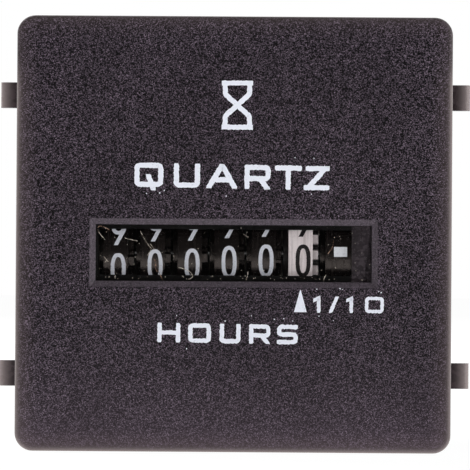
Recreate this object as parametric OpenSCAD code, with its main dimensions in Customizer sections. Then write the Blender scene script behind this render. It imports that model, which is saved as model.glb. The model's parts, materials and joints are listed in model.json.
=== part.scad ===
// Panel hour meter: a square-fronted case with a row of number drums behind a window,
// turned by a quartz-timed stepping motor, and held in its panel by a push-on frame.
// Sizes are in millimetres. X is right seen from the front, Y runs back through the panel
// and Z is up. The origin is the middle of the bezel's back face, where the panel lies.

/* [Bezel] */
// Side of the square bezel
bezel_w = 48; // [46:0.5:56]
// Thickness of the bezel in front of the panel
bezel_t = 6; // [5:0.25:8]
// Radius of the bezel's corners
bezel_corner_r = 2; // [1:0.25:3]
// Radius of the rounded front edge
bezel_edge_r = 0.5; // [0.2:0.1:0.8]
// Thickness of the wall behind the face
front_wall = 2.2; // [1.8:0.1:3]

/* [Window] */
// Width of the clear opening
window_w = 30.4; // [29:0.2:33]
// Height of the clear opening
window_h = 6.2; // [5.4:0.1:7.5]
// Height of the opening's middle above the bezel's middle
window_z = -2.1; // [-4:0.1:1]
// Width of the sloping border
window_bevel = 0.7; // [0.3:0.1:1]
// Depth of the sloping border
window_bevel_t = 0.8; // [0.4:0.1:1]
// Straight land between the border and the lens
window_land = 0.2; // [0.1:0.05:0.3]
// How far the lens reaches past the opening on each side
lens_lip = 1; // [0.6:0.1:1.4]

/* [Case] */
// Side of the square panel cut-out
cutout_w = 45; // [45:0.5:50]
// Clearance between case and cut-out on each side
cutout_gap = 0.1; // [0.05:0.05:0.2]
// Thickness of the case's walls
case_wall = 1.6; // [1.4:0.05:1.7]
// Radius of the case's corners
case_corner_r = 1.5; // [1:0.1:1.6]
// Side of the ribs in the case's corners that carry the circuit board
rib_w = 3; // [2:0.25:3.5]
// Room between the circuit board and the rear cover
rear_space = 5.4; // [5:0.2:9]
// Pitch of the ratchet teeth in the top and bottom of the case
rack_pitch = 1.25; // [0.8:0.05:2]
// Depth of the ratchet teeth
rack_depth = 0.5; // [0.3:0.1:0.8]
// Width of the ratchet tracks
rack_w = 9; // [6:0.5:14]

/* [Rear cover] */
// Thickness of the cover plate
cover_t = 1.6; // [1.2:0.1:2.4]
// Chamfer round the cover's back
cover_chamfer = 0.8; // [0.3:0.1:1]
// Height of the collars round the blades
collar_h = 1; // [0.5:0.1:2]
// Thickness of the collars' walls
collar_wall = 1.3; // [0.8:0.1:2]
// Depth of the skirt that goes into the case
skirt_depth = 4; // [3.6:0.2:4.8]
// Thickness of the skirt
skirt_wall = 1.4; // [1:0.1:2]
// Width of the snap windows in the case's sides
snap_w = 8; // [5:0.5:12]
// Length of the snap windows along the case
snap_len = 2; // [1.5:0.1:2.4]
// How far a snap nose stands out of the skirt
snap_reach = 1.1; // [0.8:0.1:1.4]
// Radius of the cover's posts that hold the circuit board
cover_post_r = 1.5; // [1:0.1:2]

/* [Mounting frame] */
// Distance from the panel's surface to the front of the ring
ring_y = 19; // [15:0.5:21]
// Length of the ring along the case
ring_len = 8; // [6:0.5:10]
// Thickness of the ring
ring_wall = 1.4; // [1:0.1:1.6]
// Clearance between the ring and the case
ring_gap = 0.2; // [0.15:0.05:0.3]
// Distance from the panel's surface to the front of the feet
foot_y = 8; // [5:0.5:10]
// Height of the feet's middles above and below the case's middle
foot_z = 15.8; // [12:0.2:18]
// Width of each leg and foot
foot_w = 2.9; // [2:0.1:4]
// Thickness of each leg and foot
leg_t = 1.2; // [0.8:0.1:1.4]
// Inside radius of the bend between leg and foot
leg_bend_r = 0.5; // [0.3:0.1:1]
// Length of the flat foot past the bend
foot_len = 2.2; // [1.4:0.1:3]
// Width of the ratchet tongues
tongue_w = 7; // [4:0.5:10]
// Width of the slots beside each tongue
tongue_slot = 1; // [0.6:0.1:1.5]

/* [Counter] */
// Radius of the number drums
drum_r = 7.2; // [6.8:0.1:7.6]
// Width of a drum's number band
band_w = 2.68; // [2.4:0.02:2.8]
// Width of the gear on a drum's right
gear_w = 0.62; // [0.5:0.02:0.7]
// Width of the carry disc on a drum's left
carry_w = 0.57; // [0.45:0.02:0.65]
// Gap between neighbouring drums
drum_gap = 0.23; // [0.15:0.02:0.3]
// Thickness of a drum's rim
drum_rim = 0.8; // [0.6:0.1:1.2]
// Thickness of a drum's web
web_t = 0.6; // [0.4:0.1:1]
// Left edge of the tenths drum's number band, from the middle
row_x = 6.06; // [5.6:0.02:6.4]
// Width of the run indicator's band
indicator_w = 3.44; // [3:0.1:3.6]
// How much of the run indicator's band shows
indicator_show = 2.9; // [2.4:0.1:3]
// Height of the drums' axis above the window's middle
counter_rise = 0.1; // [-0.2:0.05:0.3]
// Height of the opening that the drums show through
aperture_h = 5.08; // [4.6:0.02:5.4]
// Thickness of the counter frame's front plate
mask_t = 1; // [0.8:0.1:1.4]
// Thickness of the counter frame's cheeks
cheek_t = 1.5; // [1.2:0.1:1.7]
// Radius of the drums' shaft
shaft_r = 0.75; // [0.6:0.05:0.9]
// Radius of the carry pinions' shaft
pinion_shaft_r = 0.6; // [0.5:0.05:0.7]

/* [Gearing] */
// Module of the gears between motor and counter
drive_m = 0.3; // [0.27:0.01:0.31]
// Width of the gear on the run indicator
drive_gear_w = 0.8; // [0.6:0.05:0.9]
// Width of the reduction wheel's large gear
wheel_w = 0.7; // [0.5:0.05:0.8]
// Radius of the reduction wheel's arbor
arbor_r = 0.5; // [0.4:0.05:0.55]
// Radius of the rotor's pivots
pivot_r = 0.35; // [0.25:0.05:0.5]
// Thickness of the gear bridge
bridge_t = 1.2; // [1:0.05:1.3]

/* [Motor] */
// Radius of the rotor magnet
magnet_r = 2.5; // [2.2:0.1:2.7]
// Air gap round the rotor magnet
magnet_gap = 0.35; // [0.2:0.05:0.5]
// Wall of the rotor's cup
cup_wall = 0.45; // [0.4:0.05:0.6]
// Thickness of the stator and of the coil's core
stator_t = 1.2; // [0.9:0.1:1.2]
// Width of the stator's arms
arm_w = 3.6; // [3:0.2:4.2]
// Width of the coil's core
core_w = 3; // [2.4:0.1:3.4]
// Radius of the winding
winding_r = 4; // [3.2:0.1:4.2]
// Length of the winding
winding_len = 14.6; // [12:0.2:16]
// Thickness of the bobbin's flanges
flange_t = 1; // [0.7:0.1:1.2]

/* [Circuit] */
// Thickness of the circuit board
board_t = 1.6; // [1:0.1:2]
// Room between the coil and the circuit board
board_gap = 1.2; // [0.8:0.1:2.5]
// Radius of the crystal's can
crystal_r = 1.5; // [1:0.1:1.6]
// Length of the crystal's can
crystal_len = 8; // [6:0.25:9]
// Radius of the capacitor
capacitor_r = 3.15; // [2.5:0.05:4]
// Length of the capacitor
capacitor_len = 11; // [7:0.5:12]

/* [Terminals] */
// Width of the blades
blade_w = 6.3; // [4.8:0.1:6.3]
// Thickness of the blades
blade_t = 0.8; // [0.5:0.1:1]
// Distance of each blade from the middle
blade_x = 8; // [6:0.5:12]
// Length of the blades behind the cover
blade_len = 8; // [6:0.2:10]
// Radius of the hole in each blade
blade_hole_r = 0.85; // [0.6:0.05:1]

/* [Fits] */
// Radial clearance of what turns
run_fit = 0.04; // [0.03:0.01:0.06]
// Radial clearance of what is pressed in and stays
press_fit = 0.01; // [0.01:0.005:0.02]
// Clearance of what slips into place
slip_fit = 0.2; // [0.1:0.05:0.25]

/* [Hidden] */
$fn = 64;

DRUMS = ["ten_thousands", "thousands", "hundreds", "tens", "units", "tenths"];

// Bezel, window and case
face_y = -bezel_t;
wall_y = face_y + front_wall;
lens_y = face_y + window_bevel_t + window_land;
lens_w = window_w + 2 * lens_lip;
lens_h = window_h + 2 * lens_lip;
case_w = cutout_w - 2 * cutout_gap;
case_in = case_w / 2 - case_wall;

// Drums, from the left edge of each number band. Angles turn from +Y towards +Z.
drum_pitch = band_w + gear_w + drum_gap + carry_w;
function band_x(k) = row_x - (len(DRUMS) - 1 - k) * drum_pitch;
// How far each drum has rolled below level, as worn carry teeth leave them
drum_roll = [15.7, 12.1, 11.2, 8.7, 7.2, 7.0];
// How far the teeth of a drum's gear lag behind its digits
tooth_lag = 5;
function gear_turn(k) = drum_roll[k] - tooth_lag;
drum_front_gap = 0.1;
drum_y = wall_y + mask_t + drum_front_gap + drum_r;
drum_z = window_z + counter_rise;
hub_r = shaft_r + 0.85;
indicator_x0 = band_x(len(DRUMS));
indicator_x1 = indicator_x0 + indicator_w;
indicator_hub_r = 2;
indicator_spigot_r = 1.7;

// Carry gearing: each drum's gear meshes with a pinion behind it, clear of the bands
drum_teeth = 20;
pinion_teeth = 10;
drum_tooth_share = 0.7;
pinion_tooth_share = 0.25;
shaft_to_band = 0.3;
transfer_a = drum_r + shaft_to_band + pinion_shaft_r;
transfer_m = 2 * transfer_a / (drum_teeth + pinion_teeth);
drum_gear_r = transfer_m * drum_teeth / 2;
pinion_gear_r = transfer_m * pinion_teeth / 2;
transfer_addendum = 0.65 * transfer_m;
tip_clear = 0.12;
pinion_y = drum_y + transfer_a;
pinion_side = 0.06;
carry_tip_r = transfer_a - pinion_gear_r - transfer_addendum - tip_clear;
carry_r = carry_tip_r - 0.5;

// Counter frame
cheek_gap = 0.2;
frame_x0 = band_x(0) - carry_w - cheek_gap - cheek_t;
frame_x1 = indicator_x1 + 2 * cheek_gap + cheek_t;
left_in = frame_x0 + cheek_t;
right_in = frame_x1 - cheek_t;
frame_top = drum_z + drum_r + 0.4;
frame_low = drum_z - drum_r - 0.4;
aperture_x0 = band_x(0) - carry_w;
aperture_x1 = indicator_x0 + indicator_show;
ear_t = 1.2;
ear_y = drum_y - 1.5;
screw_r = 0.8;
screw_head_r = 1.6;
screw_tip_gap = 0.2;
boss_floor = 1;
boss_r = 1.75;
left_ear = [frame_x0 - boss_r - slip_fit, drum_z];
right_ear = [frame_x1 + boss_r + slip_fit, frame_low - 3.4 - boss_r];

// Gear train from the motor's rotor to the run indicator, as [y, z] of each axis
drive_teeth = 48;
wheel_teeth = 40;
leaf_teeth = 8;
leaf_shift = 0.5;
drive_angle = 40;
rotor_angle = -10;
drive_a = drive_m * (drive_teeth + leaf_teeth) / 2;
wheel_a = drive_m * (wheel_teeth + leaf_teeth) / 2;
function from(p, angle, distance) = p + distance * [cos(angle), sin(angle)];
drum_axis = [drum_y, drum_z];
pinion_axis = [pinion_y, drum_z];
reduction_axis = from(drum_axis, drive_angle, drive_a);
rotor_axis = from(reduction_axis, rotor_angle, wheel_a);
leaf_tip = drive_m * (leaf_teeth / 2 + 1.33);
leaf_root = drive_m * (leaf_teeth / 2 - 0.77);
drive_x0 = frame_x1 + 0.5;
drive_x1 = drive_x0 + drive_gear_w;
wheel_x0 = drive_x1 + 0.4;
wheel_x1 = wheel_x0 + wheel_w;
end_float = 0.1;
bridge_x0 = wheel_x1 + 0.7;
bridge_x1 = bridge_x0 + bridge_t;
pillar_r = 1.4;
// The bridge's pillars stand above the drive gear and below the rotor, as [forward, away]
upper_pillar = [2.5, 3];
lower_pillar = [1, 11];
pillars = [
  drum_axis + [-upper_pillar[0], drive_m * drive_teeth / 2 + upper_pillar[1]],
  rotor_axis - lower_pillar
];
small_screw_r = 0.6;
small_head_r = 1.25;
small_head_t = 0.6;

// Motor
cup_r = magnet_r + magnet_gap + cup_wall;
stator_x0 = right_in - 2.6;
stator_x1 = stator_x0 + stator_t;
cup_x0 = stator_x0 - 0.8;
cup_floor = 0.8;
magnet_x0 = cup_x0 + cup_floor + 0.35;
magnet_x1 = right_in - 0.4;
rotor_shaft_r = 0.85;
pole_half = cup_r + 0.7;
flange_r = winding_r + 0.5;
bobbin_len = winding_len + 2 * flange_t;
bobbin_tube_r = 2.45;
coil_y = rotor_axis[0] + cup_r + 1.5 + flange_r;
coil_x = stator_x1 + stator_t / 2;
arm_z = bobbin_len / 2 + 0.9 + arm_w / 2;
stator_post_z = cup_r + 2.9;
stator_posts = [for (side = [-1, 1]) rotor_axis + [0, side * stator_post_z]];
right_back = coil_y - flange_r - 0.3;
left_rim = 1.2;
left_back = pinion_y + pinion_gear_r + left_rim;
tie_past_drums = 6;
tie_w = 2;
top_tie_t = 1.2;
low_tie_t = 1.4;

// Circuit and rear
board_y = coil_y + flange_r + board_gap;
board_back = board_y + board_t;
board_half = case_in - slip_fit;
case_depth = board_back + rear_space;
cover_back = case_depth + cover_t;
snap_y = case_depth - skirt_depth / 2 - snap_len / 2;
post_to_skirt = 0.5;
post_xz = case_in - slip_fit - skirt_wall - post_to_skirt - cover_post_r;
pin_r = 0.3;
pin_x = 2.5;
lead_r = 0.3;
lead_past = 0.7;
lead_lift = 0.1;
resistor_r = 1.2;
resistor_len = 6.5;
diode_r = 1.3;
diode_len = 5.2;
blade_tail_w = 3;
blade_shoulder = 1;
blade_shoulder_t = 1.6;
blade_chamfer = 1.2;
blade_hole_from_tip = 3.6;
capacitor_at = [-11, -9.5];
crystal_at = [-3.5, 9];
chip_at = [-2, -8];
diode_at = [3.5, 13];
resistors_at = [[-10, 4], [-14, 4]];

// Mounting frame
ring_in = case_w / 2 + ring_gap;
ring_out = ring_in + ring_wall;
pawl_clear = 0.1;

// Drawing aids

module along_x(x0, x1) {
  translate([x0, 0, 0]) rotate([90, 0, 90]) linear_extrude(x1 - x0) children();
}

module along_y(y0, y1) {
  translate([0, y1, 0]) rotate([90, 0, 0]) linear_extrude(y1 - y0) children();
}

module along_z(z0, z1) {
  translate([0, 0, z0]) linear_extrude(z1 - z0) children();
}

module rod_x(x0, x1, r, at) {
  translate([x0, at[0], at[1]]) rotate([0, 90, 0]) cylinder(r = r, h = x1 - x0);
}

module rod_y(y0, y1, r, at) {
  translate([at[0], y1, at[1]]) rotate([90, 0, 0]) cylinder(r = r, h = y1 - y0);
}

module box(low, high) {
  translate(low) cube(high - low);
}

module ring_x(x0, x1, outer, inner, at) {
  difference() {
    rod_x(x0, x1, outer, at);
    rod_x(x0 - 1, x1 + 1, inner, at);
  }
}

module rounded_square(side, r) {
  square([side, side - 2 * r], center = true);
  square([side - 2 * r, side], center = true);
  for (x = [-1, 1], y = [-1, 1])
    translate([x, y] * (side / 2 - r)) circle(r);
}

// A bar of width w with round ends, from point a to point b
module bar(a, b, w) {
  span = b - a;
  translate(a) rotate(atan2(span[1], span[0])) translate([0, -w / 2]) square([norm(span), w]);
  for (p = [a, b])
    translate(p) circle(w / 2);
}

// Involute teeth, with the tooth's share of the pitch circle given

pressure_angle = 20;
flank_steps = 3;
function involute(angle) = tan(angle) * 180 / PI - angle;
function polar(r, angle) = r * [cos(angle), sin(angle)];

module gear(teeth, pitch_r, tip_r, root_r, share) {
  base_r = pitch_r * cos(pressure_angle);
  start_r = max(base_r, root_r + 0.02);
  half_tooth = 180 / teeth * share;
  radii = [for (i = [0:flank_steps]) start_r + (tip_r - start_r) * i / flank_steps];
  halves = [for (r = radii) half_tooth + involute(pressure_angle) - involute(acos(base_r / r))];
  polygon([
    for (t = [0:teeth - 1])
      let (middle = 360 / teeth * t)
        each [
          polar(root_r, middle - halves[0]),
          for (i = [0:flank_steps]) polar(radii[i], middle - halves[i]),
          for (i = [flank_steps:-1:0]) polar(radii[i], middle + halves[i]),
          polar(root_r, middle + halves[0])
        ]
  ]);
}

module leaf_pinion() {
  share = 0.5 + 2 * leaf_shift * tan(pressure_angle) / PI;
  gear(leaf_teeth, drive_m * leaf_teeth / 2, leaf_tip, leaf_root, share);
}

// The wheel that a leaf pinion turns, with teeth thinned as much as the leaves are thickened
module driven_wheel(teeth) {
  pitch_r = drive_m * teeth / 2;
  share = 0.46 - 2 * leaf_shift * tan(pressure_angle) / PI;
  centre_distance = pitch_r + drive_m * leaf_teeth / 2;
  gear(teeth, pitch_r, pitch_r + drive_m / 2, centre_distance - leaf_tip - drive_m / 4, share);
}

// Housing: bezel and case in one moulding

module edge_profile(reach) {
  square([reach, bezel_t - bezel_edge_r]);
  square([reach - bezel_edge_r, bezel_t]);
  translate([reach - bezel_edge_r, bezel_t - bezel_edge_r]) circle(bezel_edge_r);
}

module bezel_block() {
  flat = bezel_w / 2 - bezel_corner_r;
  rotate([90, 0, 0]) {
    box([-flat, -flat, 0], [flat, flat, bezel_t]);
    for (turn = [0:90:270]) rotate(turn) {
      translate([flat, flat, 0]) rotate([90, 0, 0]) linear_extrude(2 * flat) edge_profile(bezel_corner_r);
      translate([flat, flat, 0]) rotate_extrude(angle = 90) edge_profile(bezel_corner_r);
    }
  }
}

module window_cut() {
  outer_w = window_w + 2 * window_bevel;
  outer_h = window_h + 2 * window_bevel;
  slope_y = face_y + window_bevel_t;
  translate([0, 0, window_z]) {
    intersection() {
      along_z(-outer_h / 2, outer_h / 2) polygon([
        [-outer_w / 2, face_y], [outer_w / 2, face_y], [window_w / 2, slope_y], [-window_w / 2, slope_y]
      ]);
      along_x(-outer_w / 2, outer_w / 2) polygon([
        [face_y, -outer_h / 2], [face_y, outer_h / 2], [slope_y, window_h / 2], [slope_y, -window_h / 2]
      ]);
    }
    box([-window_w, slope_y - 0.01, -window_h] / 2 + [0, slope_y / 2, 0],
        [window_w, slope_y, window_h] / 2 + [0, slope_y / 2 + 1, 0]);
    box([-lens_w / 2 - slip_fit / 2, lens_y, -lens_h / 2 - slip_fit / 2],
        [lens_w / 2 + slip_fit / 2, wall_y + 0.1, lens_h / 2 + slip_fit / 2]);
  }
}

// One ratchet track, cut into the top of the case: ramps that end in a steep face at the back
module rack_cut() {
  top = case_w / 2;
  first = foot_y - 2;
  count = floor((snap_y - 2 - first) / rack_pitch);
  along_x(-rack_w / 2, rack_w / 2) polygon([
    [first, top + 1],
    for (i = [0:count - 1]) each [
      [first + i * rack_pitch, top],
      [first + (i + 1) * rack_pitch, top - rack_depth]
    ],
    [first + count * rack_pitch, top + 1]
  ]);
}

module housing() {
  color([0.18, 0.17, 0.19]) {
    difference() {
      union() {
        bezel_block();
        along_y(0, case_depth) rounded_square(case_w, case_corner_r);
      }
      along_y(wall_y, case_depth + 1) square(2 * case_in, center = true);
      window_cut();
      for (turn = [0, 180])
        rotate([0, turn, 0]) rack_cut();
      for (side = [-1, 1])
        translate([side * case_w / 2, snap_y + snap_len / 2, 0])
          cube([3 * case_wall, snap_len, snap_w], center = true);
    }
    for (x = [-1, 1], z = [-1, 1])
      translate([x * (case_in - rib_w / 2), (wall_y + board_y) / 2, z * (case_in - rib_w / 2)])
        cube([rib_w, board_y - wall_y, rib_w], center = true);
    for (at = [left_ear, right_ear])
      difference() {
        rod_y(wall_y, ear_y, boss_r, at);
        rod_y(wall_y + boss_floor, ear_y + 1, screw_r + press_fit, at);
      }
  }
}

module window_lens() {
  color([0.85, 0.87, 0.9, 0.3])
    box([-lens_w / 2, lens_y, window_z - lens_h / 2], [lens_w / 2, wall_y, window_z + lens_h / 2]);
}

// Outline of the cover plate seen along one of its sides, chamfered at the back
module plate_side() {
  half = case_w / 2;
  polygon([
    [half, case_depth], [half, cover_back - cover_chamfer], [half - cover_chamfer, cover_back],
    [cover_chamfer - half, cover_back], [-half, cover_back - cover_chamfer], [-half, case_depth]
  ]);
}

module rear_cover() {
  skirt = 2 * (case_in - slip_fit);
  slot = [blade_t + slip_fit, blade_w + slip_fit];
  color([0.2, 0.19, 0.2])
    difference() {
      union() {
        intersection() {
          along_y(case_depth, cover_back) rounded_square(case_w, case_corner_r);
          along_z(-case_w / 2, case_w / 2) plate_side();
          rotate([0, 90, 0]) along_z(-case_w / 2, case_w / 2) plate_side();
        }
        for (x = [-1, 1])
          along_y(case_depth, cover_back + collar_h)
            translate([x * blade_x, 0]) square(slot + 2 * collar_wall * [1, 1], center = true);
        along_y(case_depth - skirt_depth, case_depth) difference() {
          square(skirt, center = true);
          square(skirt - 2 * skirt_wall, center = true);
        }
        for (x = [-1, 1], z = [-1, 1])
          rod_y(board_back, case_depth, cover_post_r, post_xz * [x, z]);
        for (side = [0, 1])
          mirror([side, 0, 0]) snap_nose(skirt / 2);
      }
      for (x = [-1, 1])
        along_y(case_depth - 1, cover_back + collar_h + 1)
          translate([x * blade_x, 0]) square(slot, center = true);
    }
}

// A nose on the skirt's right side, ramped towards the front and square at the back
module snap_nose(skirt_x) {
  nose_w = snap_w - 2 * slip_fit;
  along_z(-nose_w / 2, nose_w / 2) polygon([
    [skirt_x, snap_y + slip_fit],
    [skirt_x + snap_reach, snap_y + snap_len / 2],
    [skirt_x + snap_reach, snap_y + snap_len - slip_fit],
    [skirt_x, snap_y + snap_len - slip_fit]
  ]);
}

// Mounting frame: a ring that slides along the case, with four legs that end in outward feet

module leg_profile() {
  bend = [ring_out + leg_bend_r, foot_y + leg_t + leg_bend_r];
  bend_out = leg_bend_r + leg_t;
  translate([ring_out - leg_t, bend[1]]) square([leg_t, ring_y + ring_len / 2 - bend[1]]);
  intersection() {
    translate(bend) difference() {
      circle(bend_out);
      circle(leg_bend_r);
    }
    translate(bend - [bend_out, bend_out]) square(bend_out);
  }
  translate([bend[0], foot_y]) square([foot_len - leg_t / 2, leg_t]);
  translate([bend[0] + foot_len - leg_t / 2, foot_y + leg_t / 2]) circle(leg_t / 2);
}

module mounting_frame() {
  tongue_root = ring_y + 1.5;
  ring_end = ring_y + ring_len;
  color([0.22, 0.21, 0.22]) {
    difference() {
      along_y(ring_y, ring_end) difference() {
        rounded_square(2 * ring_out, case_corner_r + ring_wall);
        rounded_square(2 * ring_in, case_corner_r);
      }
      for (x = [-1, 1], z = [-1, 1])
        translate([x * (tongue_w + tongue_slot) / 2, (tongue_root + ring_end + 1) / 2, z * ring_in])
          cube([tongue_slot, ring_end + 1 - tongue_root, 4 * ring_wall], center = true);
    }
    for (turn = [0, 180])
      rotate([0, turn, 0]) along_x(-tongue_w / 2, tongue_w / 2) polygon([
        [ring_end - 2.5, ring_in],
        [ring_end - 0.5, ring_in - ring_gap + pawl_clear],
        [ring_end, ring_in - ring_gap + pawl_clear],
        [ring_end, ring_in]
      ]);
    for (x = [0, 1], z = [-1, 1])
      mirror([x, 0, 0]) along_z(z * foot_z - foot_w / 2, z * foot_z + foot_w / 2) leg_profile();
  }
}

// Counter frame: front plate, two cheeks, tie bars, fixing ears, rotor cup and gear pillars

module left_cheek_outline() {
  translate([wall_y, frame_low]) square([left_back - wall_y, frame_top - frame_low]);
}

module right_cheek_outline() {
  low = rotor_axis[1] - stator_post_z - pillar_r - 1;
  high = rotor_axis[1] + stator_post_z + pillar_r;
  translate([wall_y, frame_low]) square([pinion_y - wall_y, frame_top - frame_low]);
  translate([drum_y, low]) square([right_back - drum_y, high - low]);
  ear_low = right_ear[1] - boss_r;
  translate([wall_y, ear_low]) square([ear_y + 3 * ear_t - wall_y, frame_low - ear_low]);
  for (p = pillars)
    bar(p, [p[0], drum_z], 2 * pillar_r + 1);
}

module ear(at, inner_x) {
  half = boss_r;
  box([min(at[0], inner_x), ear_y, at[1] - half], [max(at[0], inner_x), ear_y + ear_t, at[1] + half]);
  rod_y(ear_y, ear_y + ear_t, half, at);
}

module counter_frame() {
  bar_y = drum_y + tie_past_drums;
  color([0.2, 0.18, 0.2])
    difference() {
      union() {
        box([frame_x0, wall_y, frame_low], [frame_x1, wall_y + mask_t, frame_top]);
        along_x(frame_x0, left_in) left_cheek_outline();
        along_x(right_in, frame_x1) right_cheek_outline();
        box([left_in, bar_y, frame_top - top_tie_t], [right_in, bar_y + tie_w, frame_top]);
        box([left_in, bar_y, frame_low], [right_in, bar_y + tie_w, frame_low + low_tie_t]);
        ear(left_ear, frame_x0);
        ear(right_ear, frame_x1);
        rod_x(cup_x0, right_in, cup_r, rotor_axis);
        for (at = stator_posts)
          rod_x(stator_x1, right_in, pillar_r, at);
        for (p = pillars)
          rod_x(frame_x1, bridge_x0, pillar_r, p);
      }
      box([aperture_x0, wall_y - 1, drum_z - aperture_h / 2],
          [aperture_x1, wall_y + mask_t + 1, drum_z + aperture_h / 2]);
      rod_x(frame_x0 - 1, left_in + 1, shaft_r + press_fit, drum_axis);
      rod_x(right_in - 1, frame_x1 + 1, indicator_hub_r + run_fit, drum_axis);
      rod_x(frame_x0 - 1, frame_x1 + 1, pinion_shaft_r + press_fit, pinion_axis);
      rod_x(right_in + 0.3, frame_x1 + 1, arbor_r + press_fit, reduction_axis);
      rod_x(cup_x0 + cup_floor, frame_x1 + 1, cup_r - cup_wall, rotor_axis);
      rod_x(cup_x0 - 1, frame_x1, pivot_r + run_fit, rotor_axis);
      for (at = [left_ear, right_ear])
        rod_y(ear_y - 1, ear_y + ear_t + 1, screw_r + slip_fit, at);
      for (at = stator_posts)
        rod_x(stator_x1 - 1, frame_x1 - 0.5, small_screw_r + press_fit, at);
      for (p = pillars)
        rod_x(right_in + 0.5, bridge_x0 + 1, small_screw_r + press_fit, p);
    }
}

module gear_bridge() {
  color([0.78, 0.62, 0.3])
    along_x(bridge_x0, bridge_x1) difference() {
      union() {
        bar(pillars[0], reduction_axis, 2 * pillar_r + 0.4);
        bar(pillars[0], drum_axis, 2 * pillar_r + 0.4);
        bar(drum_axis, reduction_axis, 2 * pillar_r + 0.4);
        bar(reduction_axis, rotor_axis, 2 * pillar_r + 0.4);
        bar(rotor_axis, pillars[1], 2 * pillar_r + 0.4);
      }
      translate(drum_axis) circle(shaft_r + press_fit);
      translate(reduction_axis) circle(arbor_r + press_fit);
      translate(rotor_axis) circle(pivot_r + run_fit);
      for (p = pillars)
        translate(p) circle(small_screw_r + press_fit);
    }
}

module drum_shaft() {
  color([0.75, 0.76, 0.78]) rod_x(frame_x0 - 0.2, bridge_x1 - 0.2, shaft_r, drum_axis);
}

module pinion_shaft() {
  color([0.75, 0.76, 0.78]) rod_x(frame_x0 - 0.2, frame_x1, pinion_shaft_r, pinion_axis);
}

// Number drums: rim, web, hub, a fat-toothed gear on the right and a carry disc on the left

module carry_disc(x0, roll) {
  carry_angle = 27;
  tooth_w = 0.6;
  ring_x(x0 - carry_w, x0, carry_r, hub_r - 0.1, drum_axis);
  translate([0, drum_y, drum_z])
    along_x(x0 - carry_w, x0)
      for (side = [-0.5, 0.5])
        rotate(roll + carry_angle + side * 360 / drum_teeth)
          translate([carry_r - 0.4, -tooth_w / 2]) square([carry_tip_r - carry_r + 0.4, tooth_w]);
}

module drum_body(x0, x1, right_web) {
  bore = shaft_r + run_fit;
  web_x = right_web ? x1 - web_t : x0;
  ring_x(x0, x1, drum_r, drum_r - drum_rim, drum_axis);
  ring_x(web_x, web_x + web_t, drum_r - drum_rim / 2, bore, drum_axis);
  ring_x(x0, x1, carry_r, carry_r - drum_rim, drum_axis);
  ring_x(x0 - carry_w, x1, hub_r, bore, drum_axis);
}

module number_drum(k) {
  x0 = band_x(k);
  x1 = x0 + band_w;
  root_r = transfer_a - pinion_gear_r - transfer_addendum - tip_clear;
  tip_r = drum_gear_r + transfer_addendum;
  color(k == len(DRUMS) - 1 ? [0.88, 0.85, 0.84] : [0.1, 0.09, 0.09]) {
    drum_body(x0, x1, true);
    carry_disc(x0, drum_roll[k]);
    translate([0, drum_y, drum_z]) along_x(x1, x1 + gear_w) difference() {
      rotate(gear_turn(k)) gear(drum_teeth, drum_gear_r, tip_r, root_r, drum_tooth_share);
      circle(shaft_r + run_fit);
    }
  }
}

module run_indicator_drum() {
  bore = shaft_r + run_fit;
  color([0.1, 0.09, 0.09]) {
    drum_body(indicator_x0, indicator_x1, true);
    carry_disc(indicator_x0, 0);
    ring_x(indicator_x1, frame_x1 + end_float, indicator_hub_r, bore, drum_axis);
    ring_x(frame_x1 + end_float, drive_x1, indicator_spigot_r, bore, drum_axis);
  }
}

// Carry pinion right of drum k: every tooth meets that drum's gear, and every second tooth
// goes on over the carry disc of the next drum
module transfer_pinion(k) {
  x0 = band_x(k) + band_w + pinion_side;
  x1 = band_x(k + 1) - pinion_side;
  root_r = transfer_a - drum_gear_r - transfer_addendum - tip_clear;
  tip_r = pinion_gear_r + transfer_addendum;
  phase = 180 + 180 / pinion_teeth - gear_turn(k) * drum_teeth / pinion_teeth;
  gap_angle = 360 / pinion_teeth;
  color([0.85, 0.83, 0.78])
    difference() {
      translate([0, pinion_y, drum_z]) along_x(x0, x1)
        rotate(phase) gear(pinion_teeth, pinion_gear_r, tip_r, root_r, pinion_tooth_share);
      translate([0, pinion_y, drum_z]) along_x(x0 + gear_w, x1 + 1)
        for (t = [1:2:pinion_teeth - 1])
          rotate(phase + t * gap_angle) difference() {
            polygon([[0, 0], polar(2 * tip_r, -gap_angle / 2), polar(2 * tip_r, gap_angle / 2)]);
            circle(root_r);
          }
      rod_x(x0 - 1, x1 + 1, pinion_shaft_r + run_fit, pinion_axis);
    }
}

// Gearing between the rotor and the run indicator

module drive_gear() {
  color([0.85, 0.8, 0.7])
    translate([0, drum_y, drum_z]) along_x(drive_x0, drive_x1) difference() {
      rotate(drive_angle) driven_wheel(drive_teeth);
      circle(indicator_spigot_r + press_fit);
    }
}

module reduction_arbor() {
  color([0.75, 0.76, 0.78]) rod_x(right_in + 0.4, bridge_x1 - 0.1, arbor_r, reduction_axis);
}

module reduction_wheel() {
  leaf_half = 180 / leaf_teeth;
  color([0.9, 0.88, 0.82])
    translate([0, reduction_axis[0], reduction_axis[1]]) {
      along_x(frame_x1 + end_float, wheel_x0) difference() {
        rotate(drive_angle + 180 + leaf_half) leaf_pinion();
        circle(arbor_r + run_fit);
      }
      along_x(wheel_x0, wheel_x1) difference() {
        rotate(rotor_angle) driven_wheel(wheel_teeth);
        circle(arbor_r + run_fit);
      }
      along_x(wheel_x1, bridge_x0 - end_float) difference() {
        circle(leaf_root);
        circle(arbor_r + run_fit);
      }
    }
}

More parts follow.
